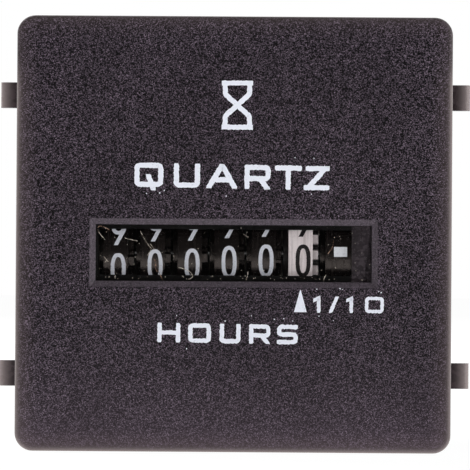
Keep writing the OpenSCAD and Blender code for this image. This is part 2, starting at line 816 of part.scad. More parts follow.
module rotor_pinion() {
  leaf_half = 180 / leaf_teeth;
  cup_in = cup_x0 + cup_floor;
  color([0.9, 0.88, 0.82]) {
    translate([0, rotor_axis[0], rotor_axis[1]])
      along_x(wheel_x0 - end_float, wheel_x1 + end_float)
        rotate(rotor_angle + 180 + leaf_half) leaf_pinion();
    rod_x(cup_in + end_float, bridge_x0 - end_float, rotor_shaft_r, rotor_axis);
    rod_x(cup_x0 + 0.1, cup_in + end_float, pivot_r, rotor_axis);
    rod_x(bridge_x0 - end_float, bridge_x1 - 0.2, pivot_r, rotor_axis);
  }
}

module rotor_magnet() {
  color([0.35, 0.35, 0.37])
    ring_x(magnet_x0, magnet_x1, magnet_r, rotor_shaft_r + press_fit, rotor_axis);
}

// Motor: a C-shaped stator whose arms carry the coil's core

module stator() {
  color([0.55, 0.56, 0.58])
    along_x(stator_x0, stator_x1) translate(rotor_axis) difference() {
      union() {
        square([2 * pole_half, 2 * arm_z + arm_w], center = true);
        for (side = [-1, 1])
          translate([-pole_half, side * arm_z - arm_w / 2])
            square([coil_y - rotor_axis[0] + pole_half + core_w / 2, arm_w]);
      }
      circle(cup_r + press_fit);
      for (side = [-1, 1]) {
        translate([0, side * stator_post_z]) circle(small_screw_r + press_fit);
        translate([coil_y - rotor_axis[0], side * arm_z]) circle(small_screw_r + press_fit);
      }
    }
}

module stator_screws() {
  color([0.8, 0.8, 0.78])
    for (at = stator_posts) {
      rod_x(stator_x0 - small_head_t, stator_x0, small_head_r, at);
      rod_x(stator_x0, frame_x1 - 0.6, small_screw_r, at);
    }
}

module coil_core() {
  color([0.5, 0.51, 0.53])
    along_x(stator_x1, stator_x1 + stator_t) translate([coil_y, rotor_axis[1]]) difference() {
      square([core_w, 2 * arm_z + arm_w], center = true);
      for (side = [-1, 1])
        translate([0, side * arm_z]) circle(small_screw_r + press_fit);
    }
}

module core_rivets() {
  color([0.78, 0.62, 0.3])
    for (side = [-1, 1]) {
      at = [coil_y, rotor_axis[1] + side * arm_z];
      rod_x(stator_x0 - small_head_t, stator_x0, small_head_r, at);
      rod_x(stator_x0, stator_x1 + stator_t, small_screw_r, at);
      rod_x(stator_x1 + stator_t, stator_x1 + stator_t + small_head_t, small_head_r, at);
    }
}

module coil_bobbin() {
  low = rotor_axis[1] - bobbin_len / 2;
  high = rotor_axis[1] + bobbin_len / 2;
  color([0.85, 0.82, 0.72])
    translate([coil_x, coil_y, 0]) difference() {
      union() {
        for (z = [low, high - flange_t])
          translate([0, 0, z]) cylinder(r = flange_r, h = flange_t);
        translate([0, 0, low]) cylinder(r = bobbin_tube_r - press_fit, h = bobbin_len);
        box([-pin_x - 1, 0, low], [pin_x + 1, flange_r, low + flange_t]);
      }
      translate([0, 0, rotor_axis[1]])
        cube([stator_t + slip_fit / 2, core_w + slip_fit / 2, bobbin_len + 1], center = true);
      for (x = [-1, 1])
        rod_y(1, flange_r + 1, pin_r + press_fit, [x * pin_x, low + flange_t / 2]);
    }
}

module coil_winding() {
  color([0.72, 0.4, 0.2])
    translate([coil_x, coil_y, rotor_axis[1] - winding_len / 2]) difference() {
      cylinder(r = winding_r, h = winding_len);
      translate([0, 0, -1]) cylinder(r = bobbin_tube_r, h = winding_len + 2);
    }
}

module bobbin_pins() {
  z = rotor_axis[1] - bobbin_len / 2 + flange_t / 2;
  color([0.8, 0.8, 0.78])
    for (x = [-1, 1])
      rod_y(coil_y + 1, board_back + lead_past, pin_r, [coil_x + x * pin_x, z]);
}

// Circuit board and what is soldered to it. Each piece's leads come from one list of holes.

crystal_leads = [for (x = [-0.55, 0.55]) crystal_at + [x, 0]];
capacitor_leads = [for (x = [-1.25, 1.25]) capacitor_at + [x, 0]];
axial_reach = 5;
diode_leads = [for (z = [-1, 1]) diode_at + [0, z * axial_reach]];
resistor_leads = [for (at = resistors_at, z = [-1, 1]) at + [0, z * axial_reach]];

module circuit_board() {
  pin_z = rotor_axis[1] - bobbin_len / 2 + flange_t / 2;
  leads = concat(crystal_leads, capacitor_leads, diode_leads, resistor_leads);
  color([0.2, 0.42, 0.26])
    along_y(board_y, board_back) difference() {
      square(2 * board_half, center = true);
      for (at = leads)
        translate(at) circle(lead_r + press_fit);
      for (x = [-1, 1]) {
        translate([coil_x + x * pin_x, pin_z]) circle(pin_r + press_fit);
        translate([x * blade_x, 0]) square([blade_t, blade_tail_w] + slip_fit * [0.5, 0.5], center = true);
      }
    }
}

module quartz_crystal() {
  stand_off = 0.6;
  can_end = board_y - stand_off;
  color([0.78, 0.78, 0.76]) {
    rod_y(can_end - crystal_len, can_end, crystal_r, crystal_at);
    rod_y(can_end - 0.8, can_end, crystal_r + 0.15, crystal_at);
    for (at = crystal_leads)
      rod_y(can_end, board_back + lead_past, lead_r, at);
  }
}

module control_chip() {
  body = [5, 1.5, 4];
  leg = 0.4;
  leg_pitch = 1.27;
  middle = [chip_at[0], board_y - body[1] / 2 - 0.1, chip_at[1]];
  color([0.12, 0.12, 0.13]) {
    translate(middle) cube(body, center = true);
    for (i = [-1.5:1.5], side = [-1, 1])
      translate([chip_at[0] + i * leg_pitch, board_y - leg, chip_at[1] + side * body[2] / 2])
        translate([-leg / 2, 0, side > 0 ? -0.2 : -0.8]) cube([leg, leg, 1]);
  }
}

module reservoir_capacitor() {
  color([0.15, 0.2, 0.35]) {
    rod_y(board_y - capacitor_len, board_y, capacitor_r, capacitor_at);
    for (at = capacitor_leads)
      rod_y(board_y, board_back + lead_past, lead_r, at);
  }
}

// A body on a wire that is bent down into the board at both ends
module axial_part(at, body_r, body_len) {
  wire_y = board_y - body_r - lead_lift;
  translate([at[0], wire_y, at[1]]) {
    translate([0, 0, -body_len / 2]) cylinder(r = body_r, h = body_len);
    translate([0, 0, -axial_reach]) cylinder(r = lead_r, h = 2 * axial_reach);
  }
  for (z = [-1, 1]) {
    translate([at[0], wire_y, at[1] + z * axial_reach]) sphere(lead_r);
    rod_y(wire_y, board_back + lead_past, lead_r, at + [0, z * axial_reach]);
  }
}

module dropper_resistors() {
  color([0.75, 0.68, 0.52])
    for (at = resistors_at)
      axial_part(at, resistor_r, resistor_len);
}

module polarity_diode() {
  color([0.12, 0.12, 0.12]) axial_part(diode_at, diode_r, diode_len);
}

// Blade terminals: a tail through the board, a shoulder behind the cover and a drilled blade
module terminal(x) {
  tip = cover_back + collar_h + blade_len;
  corner = tip - blade_chamfer;
  root = case_depth - blade_shoulder_t / 2;
  shoulder_w = blade_w + 2 * blade_shoulder;
  color([0.82, 0.8, 0.74])
    along_x(x - blade_t / 2, x + blade_t / 2) difference() {
      union() {
        translate([board_y - lead_past, -blade_tail_w / 2]) square([case_depth - board_y, blade_tail_w]);
        translate([case_depth - blade_shoulder_t, -shoulder_w / 2]) square([blade_shoulder_t, shoulder_w]);
        polygon([
          [root, -blade_w / 2], [corner, -blade_w / 2], [tip, blade_chamfer - blade_w / 2],
          [tip, blade_w / 2 - blade_chamfer], [corner, blade_w / 2], [root, blade_w / 2]
        ]);
      }
      translate([tip - blade_hole_from_tip, 0]) circle(blade_hole_r);
    }
}

module terminal_positive() {
  terminal(blade_x);
}

module terminal_negative() {
  terminal(-blade_x);
}

// Screws

module counter_screws() {
  head_t = 1.1;
  color([0.8, 0.8, 0.78])
    for (at = [left_ear, right_ear]) {
      rod_y(ear_y + ear_t, ear_y + ear_t + head_t, screw_head_r, at);
      rod_y(wall_y + boss_floor + screw_tip_gap, ear_y + ear_t, screw_r, at);
    }
}

module bridge_screws() {
  color([0.8, 0.8, 0.78])
    for (p = pillars) {
      rod_x(bridge_x1, bridge_x1 + small_head_t, small_head_r, p);
      rod_x(frame_x1, bridge_x1, small_screw_r, p);
    }
}

housing();
window_lens();
rear_cover();
mounting_frame();
counter_frame();
gear_bridge();
drum_shaft();
pinion_shaft();
run_indicator_drum();
drive_gear();
reduction_arbor();
reduction_wheel();
rotor_pinion();
rotor_magnet();
stator();
stator_screws();
coil_core();
core_rivets();
coil_bobbin();
coil_winding();
bobbin_pins();
circuit_board();
quartz_crystal();
control_chip();
reservoir_capacitor();
dropper_resistors();
polarity_diode();
terminal_positive();
terminal_negative();
counter_screws();
bridge_screws();
for (k = [0:len(DRUMS) - 1]) {
  number_drum(k);
  transfer_pinion(k);
}
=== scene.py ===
"""Looks of the panel hour meter: the finish of every solid, the print on its face, the digits on its
number drums, the lint in its window, and a plain white studio round it.

Sizes are written in millimetres and become metres where a mesh is made. X is right seen from the
front, Y runs back through the panel and Z is up.
"""
import cmath
import json
import logging
import math
import random
from abc import ABC, abstractmethod
from collections.abc import Callable, Iterable, Mapping, Sequence
from dataclasses import dataclass
from enum import Enum
from functools import cached_property

import bmesh
import bpy
from mathutils import Matrix, Vector


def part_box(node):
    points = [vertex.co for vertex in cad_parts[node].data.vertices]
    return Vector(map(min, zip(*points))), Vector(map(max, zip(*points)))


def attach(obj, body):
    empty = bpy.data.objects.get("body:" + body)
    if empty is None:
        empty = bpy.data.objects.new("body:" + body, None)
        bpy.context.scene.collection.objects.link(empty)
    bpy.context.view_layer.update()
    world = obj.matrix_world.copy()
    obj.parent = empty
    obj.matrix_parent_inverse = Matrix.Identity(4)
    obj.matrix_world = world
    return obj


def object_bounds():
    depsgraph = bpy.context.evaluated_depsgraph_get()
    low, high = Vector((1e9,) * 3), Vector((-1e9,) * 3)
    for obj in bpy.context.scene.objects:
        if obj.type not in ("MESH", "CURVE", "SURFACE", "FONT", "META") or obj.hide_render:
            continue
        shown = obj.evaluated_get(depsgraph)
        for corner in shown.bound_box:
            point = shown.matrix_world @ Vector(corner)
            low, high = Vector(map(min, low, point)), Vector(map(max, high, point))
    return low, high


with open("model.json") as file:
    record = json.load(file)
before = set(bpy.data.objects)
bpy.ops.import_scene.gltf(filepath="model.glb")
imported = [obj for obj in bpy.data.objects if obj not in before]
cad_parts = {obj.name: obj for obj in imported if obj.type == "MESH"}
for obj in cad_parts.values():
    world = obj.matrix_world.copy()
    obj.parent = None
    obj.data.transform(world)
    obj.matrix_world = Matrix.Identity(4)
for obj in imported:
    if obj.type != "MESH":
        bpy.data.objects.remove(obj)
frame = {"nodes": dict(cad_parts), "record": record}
CAD_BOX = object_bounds()

LOG = logging.getLogger("hour_meter")
MM = 0.001
# Y of the bezel's face, and the distance from its middle to its sides.
FACE_Y = CAD_BOX[0].y / MM
SIDE = CAD_BOX[1].z / MM
# Angle of the drums' front in degrees, from +Y towards +Z, and the height of the ink on them.
FRONT = 180
DRUM_INK_T = 0.012
# Shorter spans count as nothing.
TINY = 1e-6

Span = tuple[float, float]
Triple = tuple[float, float, float]
Colour = Triple
Corner = tuple[float, ...]
Place = Callable[[complex, float], Vector]
Line = tuple[Sequence[complex], bool, Place]
Piece = bpy.types.Object
Material = bpy.types.Material


def box_mm(node: str) -> tuple[Vector, Vector]:
    """Lowest and highest corner of a node in millimetres."""
    low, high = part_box(node)
    return low / MM, high / MM


class Slot(Enum):
    """The record's material slots."""

    BLACK_MOULDING = "black_moulding"
    CLIP_MOULDING = "clip_moulding"
    CLEAR_LENS = "clear_lens"
    DARK_FRAME = "dark_frame"
    BLACK_DRUM = "black_drum"
    WHITE_DRUM = "white_drum"
    NATURAL_GEAR = "natural_gear"
    BRASS = "brass"
    BRIGHT_STEEL = "bright_steel"
    STATOR_IRON = "stator_iron"
    MAGNET = "magnet"
    COPPER_WIRE = "copper_wire"
    BOARD_GREEN = "board_green"
    CRYSTAL_CAN = "crystal_can"
    BLACK_PACKAGE = "black_package"
    CAPACITOR_SLEEVE = "capacitor_sleeve"
    RESISTOR_LACQUER = "resistor_lacquer"
    TINNED_BRASS = "tinned_brass"


class Body(Enum):
    """The bodies that loose pieces of the scene ride on."""

    CASE = "case"
    INDICATOR = "indicator"


class Drum(Enum):
    """The number drums, from left to right, which are bodies as well."""

    TEN_THOUSANDS = "ten_thousands"
    THOUSANDS = "thousands"
    HUNDREDS = "hundreds"
    TENS = "tens"
    UNITS = "units"
    TENTHS = "tenths"


# Shader maths


class Signal:
    """A socket of a node tree, with arithmetic on the number that it carries."""

    def __init__(self, tree: bpy.types.NodeTree, socket: bpy.types.NodeSocket) -> None:
        """Wrap a socket of the given tree."""
        self.tree = tree
        self.socket = socket

    def _math(self, operation: str, first: "Signal | float", second: "Signal | float") -> "Signal":
        """Add a Math node.

        Args:
            operation: Name of the Math node's operation.
            first: Its first value.
            second: Its second value.

        Returns:
            The node's result.
        """
        made = self.tree.nodes.new("ShaderNodeMath")
        made.operation = operation
        for socket, value in zip(made.inputs, (first, second)):
            feed(self.tree, socket, value)
        return Signal(self.tree, made.outputs[0])

    def __add__(self, other: "Signal | float") -> "Signal":
        """Sum of two values."""
        return self._math("ADD", self, other)

    __radd__ = __add__

    def __sub__(self, other: "Signal | float") -> "Signal":
        """This value less another."""
        return self._math("SUBTRACT", self, other)

    def __rsub__(self, other: float) -> "Signal":
        """A number less this value."""
        return self._math("SUBTRACT", other, self)

    def __mul__(self, other: "Signal | float") -> "Signal":
        """Product of two values."""
        return self._math("MULTIPLY", self, other)

    __rmul__ = __mul__

    def __truediv__(self, other: "Signal | float") -> "Signal":
        """This value divided by another."""
        return self._math("DIVIDE", self, other)

    def __pow__(self, other: float) -> "Signal":
        """This value raised to a power."""
        return self._math("POWER", self, other)

    def __abs__(self) -> "Signal":
        """Size of the value without its sign."""
        return self._math("ABSOLUTE", self, 0.0)

    def larger(self, other: "Signal | float") -> "Signal":
        """The larger of two values."""
        return self._math("MAXIMUM", self, other)


def feed(tree: bpy.types.NodeTree, socket: bpy.types.NodeSocket, value: object) -> None:
    """Link a signal to a socket, or set the socket to a constant.

    Args:
        tree: Tree that the socket belongs to.
        socket: Socket to feed.
        value: A signal, a number, or a colour or vector of three numbers.
    """
    if isinstance(value, Signal):
        tree.links.new(value.socket, socket)
    elif socket.type == "RGBA":
        socket.default_value = (*value, 1.0)
    else:
        socket.default_value = value


class Shading:
    """The node tree of one material or of the world."""

    def __init__(self, owner: Material | bpy.types.World, shader: str = "Principled BSDF") -> None:
        """Start with the shader that the owner comes with.

        Args:
            owner: The material or the world.
            shader: Name of its shader.
        """
        owner.use_nodes = True
        self.owner = owner
        self.tree = owner.node_tree
        self.shader = self.tree.nodes[shader]

    def node(
        self,
        kind: str,
        settings: Mapping[str, object] | None = None,
        inputs: Mapping[str | int, object] | None = None,
        output: str | int = 0,
    ) -> Signal:
        """Add a node.

        Args:
            kind: Type of the node, without its ShaderNode prefix.
            settings: Properties of the node, which are set first.
            inputs: Values or signals of its sockets, by name or index.
            output: The socket to return, by name or index.

        Returns:
            That output as a signal.
        """
        made = self.tree.nodes.new("ShaderNode" + kind)
        for key, value in (settings or {}).items():
            setattr(made, key, value)
        for key, value in (inputs or {}).items():
            feed(self.tree, made.inputs[key], value)
        return Signal(self.tree, made.outputs[output])

    def vector(self, operation: str, first: Signal, second: Triple = (0.0, 0.0, 0.0)) -> Signal:
        """Result of a Vector Math node, which is a number for a length or a distance."""
        output = "Value" if operation in ("LENGTH", "DISTANCE") else "Vector"
        return self.node("VectorMath", {"operation": operation}, {0: first, 1: second}, output)

    def place(self, stretch: Triple = (1.0, 1.0, 1.0)) -> Signal:
        """Place on the piece in millimetres, stretched along its axes."""
        scale = tuple(share / MM for share in stretch)
        return self.vector("MULTIPLY", self.node("TexCoord", output="Object"), scale)

    @cached_property
    def at(self) -> Signal:
        """Place on the piece in millimetres."""
        return self.place()

    def axes(self, at: Signal) -> tuple[Signal, Signal, Signal]:
        """The x, y and z of a place."""
        return tuple(self.node("SeparateXYZ", inputs={0: at}, output=axis) for axis in "XYZ")

    def noise(self, at: Signal, size: float, detail: float = 2.0) -> Signal:
        """Cloudy noise from 0 to 1.

        Args:
            at: Place in millimetres.
            size: Size of a cloud in millimetres.
            detail: How many finer layers it has.

        Returns:
            The noise.
        """
        return self.node("TexNoise", inputs={"Vector": at, "Scale": 1 / size, "Detail": detail})

    def between(self, value: Signal, low: float, high: float) -> Signal:
        """Smooth step from 0 below low to 1 above high."""
        settings = {"interpolation_type": "SMOOTHSTEP", "clamp": True}
        return self.node("MapRange", settings, {"Value": value, "From Min": low, "From Max": high})

    def blend(self, factor: Signal | float, first: object, second: object) -> Signal:
        """Blend two colours.

        Args:
            factor: Share of the second colour.
            first: The first colour.
            second: The second colour.

        Returns:
            The colour.
        """
        factor_socket, first_socket, second_socket, output = 0, 6, 7, 2
        inputs = {factor_socket: factor, first_socket: first, second_socket: second}
        return self.node("Mix", {"data_type": "RGBA"}, inputs, output)

    def bump(self, height: Signal, depth: float, strength: float = 1.0) -> None:
        """Raise the surface by a height from 0 to 1, with its depth in millimetres."""
        inputs = {"Height": height, "Distance": depth * MM, "Strength": strength}
        self.paint(Normal=self.node("Bump", inputs=inputs))

    def paint(self, **sockets: object) -> None:
        """Feed sockets of the shader, whose names are written with _ for a space."""
        for name, value in sockets.items():
            feed(self.tree, self.shader.inputs[name.replace("_", " ")], value)


# Finishes


@dataclass(frozen=True)
class Mottle:
    """Cloudy marks on a surface.

    Attributes:
        size: Size of a cloud.
        detail: How many finer layers it has.
        low: Level of the noise at which the marks start.
        high: Level at which they are full.
    """

    size: float
    detail: float
    low: float
    high: float

    def on(self, shading: Shading, at: Signal) -> Signal:
        """The marks on a surface, from 0 to 1."""
        return shading.between(shading.noise(at, self.size, self.detail), self.low, self.high)


class Finish(ABC):
    """The finish of a surface."""

    def make(self, name: str) -> Material:
        """Make a material of this finish.

        Args:
            name: Name of the material.

        Returns:
            The material.
        """
        shading = Shading(bpy.data.materials.new(name))
        self.lay(shading)
        return shading.owner

    @abstractmethod
    def lay(self, shading: Shading) -> None:
        """Lay the finish on a surface.

        Args:
            shading: Node tree of its material.
        """


@dataclass(frozen=True)
class GrainedPlastic(Finish):
    """Moulded plastic with a spark-eroded grain, whose glints are painted highlights in its colour.

    Attributes:
        dark: Colour between the glints.
        light: Colour of the painted glints.
        grain: Size of the grain.
        depth: Depth of the grain.
        roughness: Mean roughness.
        polish: How much less rough the smooth parts are.
        glints: Levels of the grain where the glints start and are full.
        sparkle: Share of the glints' colour that only the brightest facets have.
        gloss: How strongly it mirrors.
    """

    dark: Colour
    light: Colour
    grain: float
    depth: float
    roughness: float
    polish: float = 0.28
    glints: Span = (0.35, 0.85)
    sparkle: float = 0.0
    gloss: float = 0.35

    def lay(self, shading: Shading) -> None:
        """Lay the grain on a surface.

        Args:
            shading: Node tree of its material.
        """
        facet_share, spark_band, cloud_share, rough_range = 0.85, 0.06, 0.2, 0.3
        smooth, tone = self.smooth_parts(shading)
        grain = shading.noise(shading.at, 2 * self.grain)
        inputs = {"Vector": shading.at, "Scale": 1 / self.grain}
        cells = shading.node("TexVoronoi", inputs=inputs, output="Color")
        facets = shading.node("SeparateColor", inputs={0: cells}, output="Red")
        lively = facets * facet_share + grain * (1.0 - facet_share)
        start, full = self.glints
        sparks = shading.between(lively, full - spark_band, full)
        glints = shading.between(lively, start, full) * (1.0 - self.sparkle) + sparks * self.sparkle
        clouds = Mottle(12.0, 1.0, 0.3, 0.7).on(shading, shading.at)
        cloud = clouds * cloud_share + (1.0 - cloud_share)
        shading.bump(grain * (1.0 - smooth), self.depth)
        # Painted highlights: the glints are pale facets in the base colour, over a real bump of the grain.
        plain = shading.blend(glints * cloud, self.ground(shading), self.light)
        shading.paint(
            Base_Color=shading.blend(smooth, plain, tone),
            Roughness=self.roughness + (grain - 0.5) * rough_range - smooth * self.polish,
            Specular_IOR_Level=self.gloss,
        )

    def ground(self, shading: Shading) -> Colour | Signal:
        """Colour between the glints."""
        return self.dark

    @abstractmethod
    def smooth_parts(self, shading: Shading) -> tuple[Signal, Colour | Signal]:
        """Where the surface is smooth instead of grained, from 0 to 1, and its colour there."""


@dataclass(frozen=True)
class BezelPlastic(GrainedPlastic):
    """Grained plastic whose window border is smoother with a painted sheen and whose outer edges carry a
    painted highlight.

    Attributes:
        border_sheen: Colour of the painted sheen on the high spots of the window's border.
        edge: Colour of the painted highlight on the outer edges.
        painted_low_light: Colour of the painted light between the glints at the bottom.
        painted_pale: Colour of the painted light between the glints near the edges.
        border_t: Depth of the border.
        edge_w: Width of that painted highlight.
        painted_pale_w: Width of the margin of painted light.
        painted_pale_share: Share of that painted light at the edge.
        corner_r: Radius of the bezel's corners.
    """

    border_sheen: Colour = (0.33, 0.283, 0.330)
    edge: Colour = (0.335, 0.286, 0.279)
    painted_low_light: Colour = (0.043, 0.032, 0.040)
    painted_pale: Colour = (0.40, 0.30, 0.30)
    border_t: float = 0.8
    edge_w: float = 1.4
    painted_pale_w: float = 3.0
    painted_pale_share: float = 0.16
    corner_r: float = 2.0

    def smooth_parts(self, shading: Shading) -> tuple[Signal, Signal]:
        """Find the smooth parts of the bezel.

        Args:
            shading: Node tree of its material.

        Returns:
            How smooth it is, from 0 to 1, and its colour there, with the painted sheen and the painted rim
            highlight.
        """
        x, y, z = shading.axes(shading.at)
        fade, inside_even, border_grain, border_spots, edge_power = 0.1, 0.85, 0.4, 0.25, 2.5
        border_start, inside_end = (0.02, 0.06), (3.0, 3.5)
        depth = y - FACE_Y
        low, high = box_mm("window_lens")
        middle, half = (low + high) / 2, (high - low) / 2
        beside = shading.between(abs(x - middle.x), half.x, half.x + fade)
        above = shading.between(abs(z - middle.z), half.z, half.z + fade)
        inside = (1.0 - beside) * (1.0 - above) * shading.between(depth, *border_start)
        inside = inside * (1.0 - shading.between(depth, *inside_end))
        sloping = inside * (1.0 - shading.between(depth, self.border_t - fade / 2, self.border_t))
        # Painted highlight: the outer edges turn pale where they would catch light, less at the top and not
        # at all behind.
        rim_highlight = self.outward(shading, self.corner_r, self.edge_w) ** edge_power
        rim_highlight = rim_highlight * self.lit_share(shading)
        # Painted sheen: the window's border is lighter than the face though it is the same plastic; only
        # its smoothness is real.
        tone = shading.blend(sloping * shading.noise(shading.at, border_spots), self.dark, self.border_sheen)
        even = inside * inside_even - sloping * border_grain
        return even.larger(rim_highlight), shading.blend(rim_highlight, tone, self.edge)

    def outward(self, shading: Shading, radius: float, width: float) -> Signal:
        """How near a place is to the bezel's outer edge.

        Args:
            shading: Node tree of the material.
            radius: Radius of the edge's corners.
            width: Distance from the edge at which it starts.

        Returns:
            From 0 at that distance to 1 at the edge.
        """
        x, _, z = shading.axes(shading.at)
        beyond = [(abs(axis) - (SIDE - radius)).larger(0.0) for axis in (x, z)]
        corner = shading.node("CombineXYZ", inputs={"X": beyond[0], "Z": beyond[1]})
        reach = shading.vector("LENGTH", corner)
        return ((reach - radius) / width + 1.0).larger(0.0)

    def lit_share(self, shading: Shading) -> Signal:
        """How much of the painted light a place takes.

        Args:
            shading: Node tree of the material.

        Returns:
            From 0 behind to 1 in front, and less towards the top.
        """
        # The painted light is weaker at the top, as the light falls from below.
        top_dimmed, behind = 0.5, (0.5, 1.5)
        _, y, z = shading.axes(shading.at)
        top_dim = shading.between(z, SIDE - 4 * self.corner_r, SIDE - 2 * self.corner_r) * top_dimmed
        return (1.0 - top_dim) * (1.0 - shading.between(y - FACE_Y, *behind))

    def ground(self, shading: Shading) -> Signal:
        """Find the colour between the glints, made paler towards the bottom and near the edges by painted
        light.

        Args:
            shading: Node tree of the material.

        Returns:
            The colour.
        """
        low_light_power = 3.5
        # Painted light from below: the colour between the glints turns paler towards the bottom (low,
        # blended into dusty).
        low = (shading.axes(shading.at)[2] / -SIDE).larger(0.0)
        # Painted light near the edges: a pale margin that widens the painted rim highlight, weaker at the
        # top.
        painted_pale = self.outward(shading, self.painted_pale_w, self.painted_pale_w) ** 2 * self.lit_share(shading)
        dusty = shading.blend(low**low_light_power, self.dark, self.painted_low_light)
        return shading.blend(painted_pale * self.painted_pale_share, dusty, self.painted_pale)


@dataclass(frozen=True)
class ClipPlastic(GrainedPlastic):
    """Grained plastic of the push-on frame, painted paler towards the tips of its feet as painted light,
    leaving them dark near the bezel as painted shade.

    Attributes:
        painted_pale: Colour of the painted highlight at the tips.
        painted_pale_w: Length of the feet over which they turn pale.
        past: How far past the tips they would be palest.
    """

    painted_pale: Colour = (0.335, 0.28, 0.275)
    painted_pale_w: float = 2.4
    past: float = 0.1

    def smooth_parts(self, shading: Shading) -> tuple[Signal, Colour]:
        """Find where the feet are painted paler.

        Args:
            shading: Node tree of its material.

        Returns:
            How pale they are painted, from 0 to 1, and their colour there.
        """
        tip = CAD_BOX[1].x / MM
        # Painted light: the feet grow paler towards their tips as a painted highlight and stay dark near
        # the bezel as painted shade.
        outward = shading.between(abs(shading.axes(shading.at)[0]), tip - self.painted_pale_w, tip + self.past)
        return outward**2, self.painted_pale


@dataclass(frozen=True)
class MaskedPlastic(GrainedPlastic):
    """Grained plastic that is printed black round the drums, up to the right end of the indicator.

    Attributes:
        mask: Colour of the print.
        mask_end: Where it ends.
        blur: How far its edge is blurred to each side.
    """

    mask: Colour = (0.003, 0.0025, 0.0025)
    mask_end: float = 13.0
    blur: float = 0.03

    def smooth_parts(self, shading: Shading) -> tuple[Signal, Colour]:
        """Where the frame is printed, from 0 to 1, and the print's colour."""
        x = shading.axes(shading.at)[0]
        return 1.0 - shading.between(x, self.mask_end - self.blur, self.mask_end + self.blur), self.mask


@dataclass(frozen=True)
class SmoothPlastic(Finish):
    """Smooth moulded plastic with flow lines and a little dust.

    Attributes:
        colour: Its own colour.
        dusty: Colour of the flow lines and the dust.
        roughness: Mean roughness.
        gloss: How strongly it mirrors.
        sheen: Colour of what it mirrors.
        streak: How fine the flow lines are along each axis.
        marks: How strongly the flow lines show.
    """

    colour: Colour
    dusty: Colour
    roughness: float
    gloss: float = 0.5
    sheen: Colour = (1.0, 1.0, 1.0)
    streak: Triple = (4.0, 0.3, 0.3)
    marks: float = 0.3

    def lay(self, shading: Shading) -> None:
        """Lay the flow lines and the dust on a surface.

        Args:
            shading: Node tree of its material.
        """
        dust_marks, dust_rough, line_rough = 0.3, 0.2, 0.1
        lines = Mottle(1.0, 3.0, 0.4, 0.7).on(shading, shading.place(self.streak))
        dust = Mottle(0.5, 4.0, 0.55, 0.8).on(shading, shading.at)
        shading.bump(lines, depth=0.002, strength=0.5)
        tone = shading.blend(dust * dust_marks + lines * self.marks, self.colour, self.dusty)
        shading.paint(
            Base_Color=self.shaded(shading, tone),
            Roughness=self.roughness + dust * dust_rough + (lines - 0.5) * line_rough,
            Specular_IOR_Level=self.gloss,
            Specular_Tint=self.sheen,
        )

    def shaded(self, shading: Shading, tone: Signal) -> Signal:
        """The tone before any painted shade darkens it."""
        return tone


@dataclass(frozen=True)
class DrumPlastic(SmoothPlastic):
    """Smooth plastic of a drum, with painted shade in its tooth gaps.

    Attributes:
        gap_shade: Colour of the painted shade.
        gap_shade_r: Radius up to which it fills the gaps.
        gap_shade_fade: Width over which it thins out.
    """

    gap_shade: Colour = (0.012, 0.010, 0.009)
    gap_shade_r: float = 5.4
    gap_shade_fade: float = 0.2

    def shaded(self, shading: Shading, tone: Signal) -> Signal:
        """Darken the tone in the tooth gaps with painted shade.

        Args:
            shading: Node tree of the material.
            tone: Colour without the painted shade.

        Returns:
            The colour.
        """
        low, high = box_mm("drum_tenths")
        middle = (0.0, (low.y + high.y) / 2, (low.z + high.z) / 2)
        flat = shading.vector("MULTIPLY", shading.at, (0.0, 1.0, 1.0))
        radius = shading.vector("DISTANCE", flat, middle)
        # Painted shade: the tooth gaps are darkened by their distance from the drum's axis.
        unshaded = shading.between(radius, self.gap_shade_r, self.gap_shade_r + self.gap_shade_fade)
        return shading.blend(unshaded, self.gap_shade, tone)


@dataclass(frozen=True)
class ClearPlastic(Finish):
    """Clear polished plastic with a film of dust.

    Attributes:
        colour: Colour of the film.
        film: How strongly the film shows.
        dust: How strongly its specks show.
    """

    colour: Colour
    film: float
    dust: float

    def lay(self, shading: Shading) -> None:
        """Lay the film on a surface.

        Args:
            shading: Node tree of its material.
        """
        roughness, smear_rough, rim_share, speck = 0.06, 0.08, 0.25, (0.42, 0.40, 0.38)
        smears = shading.noise(shading.place((0.5, 1.0, 1.5)), size=3.0, detail=3.0)
        specks = Mottle(0.16, 2.0, 0.74, 0.82).on(shading, shading.at)
        rim = shading.node("LayerWeight", inputs={"Blend": 0.25}, output="Fresnel")
        shading.paint(
            Base_Color=shading.blend(specks, self.colour, speck),
            Roughness=roughness + smears * smear_rough,
            Alpha=self.film * smears + specks * self.dust + rim * rim_share,
        )


@dataclass(frozen=True)
class PrintedInk(Finish):
    """Screen-printed ink that lies unevenly on the grain below it.

    Attributes:
        colour: Colour of thick ink.
        thin: Colour of thin ink.
        roughness: Least roughness.
    """

    colour: Colour
    thin: Colour
    roughness: float = 0.6

    def lay(self, shading: Shading) -> None:
        """Lay the ink on a surface.

        Args:
            shading: Node tree of its material.
        """
        pits, grain_rough = (0.58, 0.78), 0.15
        grain = shading.noise(shading.at, size=0.22)
        shading.bump(1.0 - grain, depth=0.01, strength=0.6)
        shading.paint(
            Base_Color=shading.blend(shading.between(grain, *pits), self.colour, self.thin),
            Roughness=self.roughness + grain * grain_rough,
            Specular_IOR_Level=0.3,
        )


@dataclass(frozen=True)
class Fluff(Finish):
    """Textile fibre, uneven along its length and matt.

    Attributes:
        colour: Colour of its pale stretches.
        root: Colour of its dark stretches.
    """

    colour: Colour
    root: Colour

    def lay(self, shading: Shading) -> None:
        """Make the fibre uneven.

        Args:
            shading: Node tree of its material.
        """
        pale, dense = (0.35, 0.65), (0.3, 0.6)
        least_rough, added_rough, least_alpha, added_alpha = 0.7, 0.2, 0.45, 0.5
        uneven = shading.noise(shading.at, size=0.4, detail=3.0)
        shading.paint(
            Base_Color=shading.blend(shading.between(uneven, *pale), self.root, self.colour),
            Roughness=least_rough + uneven * added_rough,
            Alpha=least_alpha + shading.between(uneven, *dense) * added_alpha,
            Specular_IOR_Level=0.2,
        )


